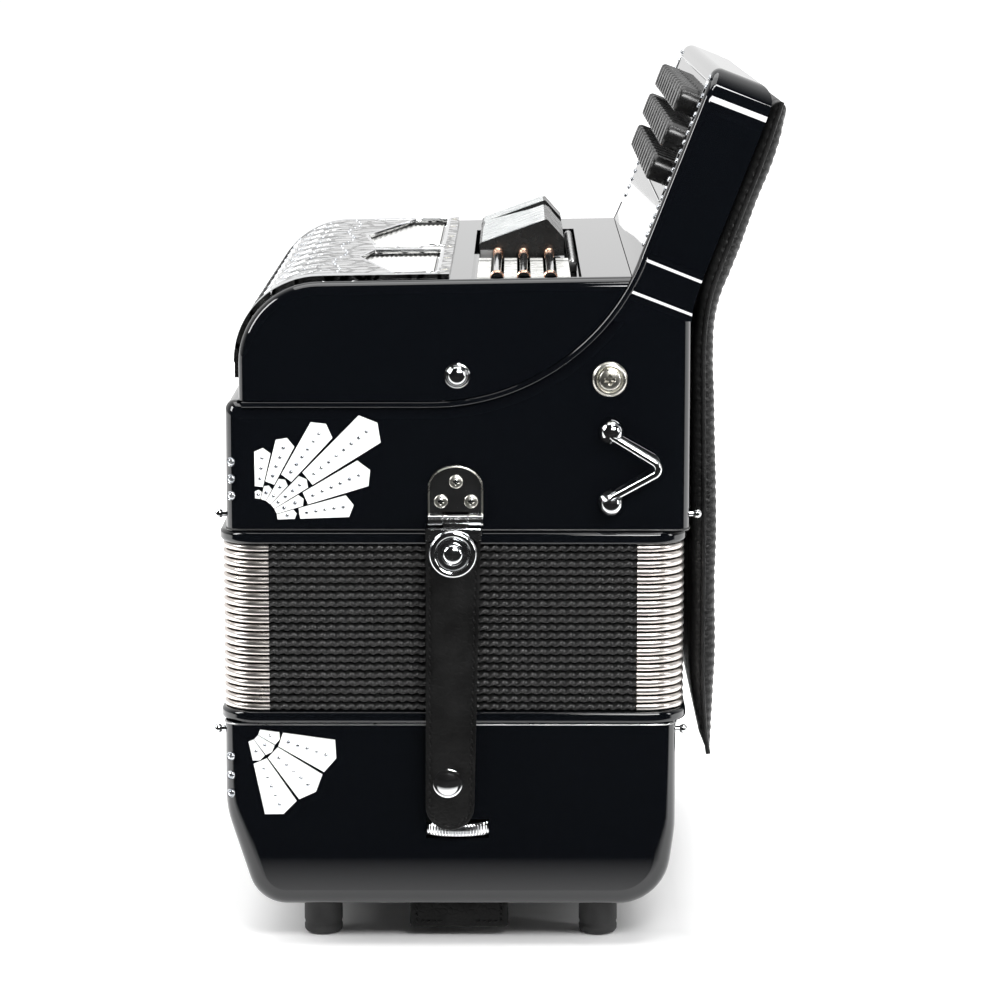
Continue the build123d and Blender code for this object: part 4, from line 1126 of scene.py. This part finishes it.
def rubber_feet():
    """Moulded feet with a rib, a rounded sole and a screw in the recess."""
    profile = [
        (8.0, 0), (8.0, 1.2), (7.6, 1.6), (7.6, 3.0), (8.0, 3.5), (8.0, 12.0), (7.7, 13.0), (7.7, 13.6),
        (8.0, 14.4), (7.9, 16.2), (7.2, 17.2), (6.2, 17.5), (4.4, 17.5), (4.0, 17.1), (4.0, 13.0),
        (2.6, 13.0), (2.4, 13.8), (0, 14.0),
    ]
    piece = Mesher()
    for x, y in ((-55.0, -120.0), (60.0, -120.0), (-55.0, 120.0), (60.0, 120.0)):
        foot = frame_at(at(x, y, 17.5), (0, 0, -1), (0, 1, 0))
        piece.lathe(profile, foot, 40, tones=[0] * 14 + [1] * 3)
    piece.build("rubber_feet", ["rubber", "steel"], "bass_end", "rubber", ["feet"])


def knurled_wheel():
    """Strap adjuster wheel with a diamond-cut rim and a spindle."""
    piece = Mesher()
    x, y, low, steps = 1.7, -132.0, 48.0, 360
    half_rim = ((16.5, 0.0), (18.9, 0.0), (19.4, 0.5), (19.75, 1.0))
    rim = half_rim + tuple((radius, 5.0 - z) for radius, z in half_rim[::-1])
    rows = []
    for radius, z in rim:
        row = []
        for k in range(steps):
            a = 2 * pi * k / steps
            r = radius - 0.42 * (k % 4 in (0, 1)) * (radius > 19.0)
            row.append(at(x + r * cos(a), y + r * sin(a), low + z))
        rows.append(row)
    piece.grid(rows, close=True)
    place = frame_at(at(x, y, low), (0, 0, 1), (0, 1, 0))
    under = [(16.5, 0), (16.2, 0.8), (5.2, 0.8), (5.0, 0.2), (3.0, 0.2), (3.0, -29.0), (2.4, -29.5)]
    over = [(16.5, 5), (16.2, 4.2), (5.2, 4.2), (5.0, 4.8), (3.0, 4.8), (3.0, 19.6), (2.6, 20.0)]
    piece.lathe(under + [(0, -29.5)], place, 48, 1)
    piece.lathe(over + [(0, 20.0)], place, 48, 1)
    piece.build("knurled_wheel", ["chrome", "steel"], "adjust_wheel", "chrome", ["adjust_wheel"], 30)


# ---- camera, light and floor
def camera():
    """Long lens on the near side, looking down a little at the end faces."""
    data = bpy.data.cameras.new("camera")
    data.sensor_width = 36.0
    data.lens = 136.94
    data.clip_end = 50.0
    down, turn = radians(8.963), radians(0.256)
    bpy.context.scene.camera = put("camera", data, at(25.91, -1670.0, 427.28), (pi / 2 - down, 0, turn))


def area_light(name, place, target, size, power):
    data = bpy.data.lights.new(name, "AREA")
    data.shape = "RECTANGLE"
    data.size, data.size_y = size
    data.energy = power
    aim = (Vector(target) - Vector(place)).to_track_quat("-Z", "Y").to_euler()
    put(name, data, place, aim).visible_camera = False


def studio():
    """White backdrop, dark room on the near side, and soft boxes."""
    scene = bpy.context.scene
    scene.view_settings.view_transform = "Standard"
    world = bpy.data.worlds.new("studio")
    scene.world = world
    world.use_nodes = True
    tree = world.node_tree
    tree.nodes.clear()
    place = add_node(tree, "TexCoord").outputs["Generated"]
    depth = add_node(tree, "SeparateXYZ", Vector=place).outputs["Y"]
    ends = {"From Min": -0.15, "From Max": 0.5, "To Min": 0.015, "To Max": 1.15}
    shade = add_node(tree, "MapRange", Value=depth, **ends).outputs["Result"]
    room = add_node(tree, "Background", Strength=shade).outputs["Background"]
    white = add_node(tree, "Background", Color=(1, 1, 1, 1), Strength=1.05).outputs["Background"]
    seen = add_node(tree, "LightPath").outputs["Is Camera Ray"]
    mix_to(add_node(tree, "OutputWorld"), seen, room, white)
    area_light("top", (0.0, 0.15, 1.9), (0, 0, 0.2), (1.6, 1.2), 16)
    area_light("left", (-1.45, -0.45, 1.15), (0, 0, 0.22), (0.4, 1.0), 15)
    area_light("right", (1.5, -0.65, 0.65), (0, 0, 0.22), (0.25, 0.8), 5)
    area_light("key", (0.5, -1.3, 1.08), (0, 0, 0.22), (0.9, 0.34), 22)
    area_light("strip", (0.45, -0.75, 1.9), (0, 0, 0.22), (0.9, 0.14), 8)


def floor():
    """Large pale floor that glows, a painted light, more the further it is from the instrument; glossy rays
    see it nearly black on the near side, a painted dark reflection like a shaded studio.
    """
    piece = Mesher()
    rings = (0.0, 0.3, 0.6, 1.2, 2.5, 5.0, 9.0)
    piece.grid([[(x, y, -0.0004) for x, y in arc(r, circle(48))] for r in rings], close=True)
    r = Recipe("floor", grey(0.9), 0.55)
    r.tones(r.noise(3, 3), (0.3, grey(0.88)), (0.7, grey(0.93)))
    split = r.node("SeparateXYZ", Vector=r.place)

    def math_node(kind, *values):
        node = r.node("Math")
        node.operation = kind
        for socket, value in zip(node.inputs, values):
            if isinstance(value, float):
                socket.default_value = value
            else:
                r.tree.links.new(value, socket)
        return node.outputs[0]

    # Painted light: the floor glows, not at all close under the instrument and up to full strength far out,
    # so it reads as brightly lit white.
    across = math_node("DIVIDE", math_node("ABSOLUTE", split.outputs["X"]), 0.095)
    depth = math_node("DIVIDE", math_node("ABSOLUTE", split.outputs["Y"]), 0.150)
    reach = math_node("MAXIMUM", across, depth)
    painted_floor_glow = math_node("ADD", r.spread(reach, 0.0, 0.4, 0.8, 1.15), r.spread(reach, 0.0, 0.6, 1.3, 4.0))
    r.shader.inputs["Emission Color"].default_value = (1, 1, 1, 1)
    r.tree.links.new(painted_floor_glow, r.shader.inputs["Emission Strength"])
    # Painted dark reflection: glossy rays see the floor in front of the instrument as a near-black diffuse
    # surface.
    shade = r.spread(split.outputs["Y"], 1.0, 0.0, -0.30, -0.22)
    dark_reflection_share = math_node("MULTIPLY", shade, r.node("LightPath").outputs["Is Glossy Ray"])
    dark = r.node("BsdfDiffuse", Color=(0.01, 0.01, 0.01, 1))
    mix_to(r.tree.nodes["Material Output"], dark_reflection_share, r.shader.outputs["BSDF"], dark.outputs["BSDF"])
    piece.build("floor", ["floor"])


# ---- the whole scene
camera()
studio()
floor()
bellows_cloth()
corner_guards()
frame_trims()
for side_sign, end_name in ENDS:
    leather_strap(side_sign, end_name)
    strap_metalwork(side_sign, end_name)
hinge_screws()
case_screws()
ornament_stones()
corner_stones()
ribbed_cloth()
grille_relief()
treble_buttons()
board_trim()
seam_rims()
registers()
well_details()
back_pad()
hand_strap()
strap_end_wraps()
rubber_feet()
knurled_wheel()
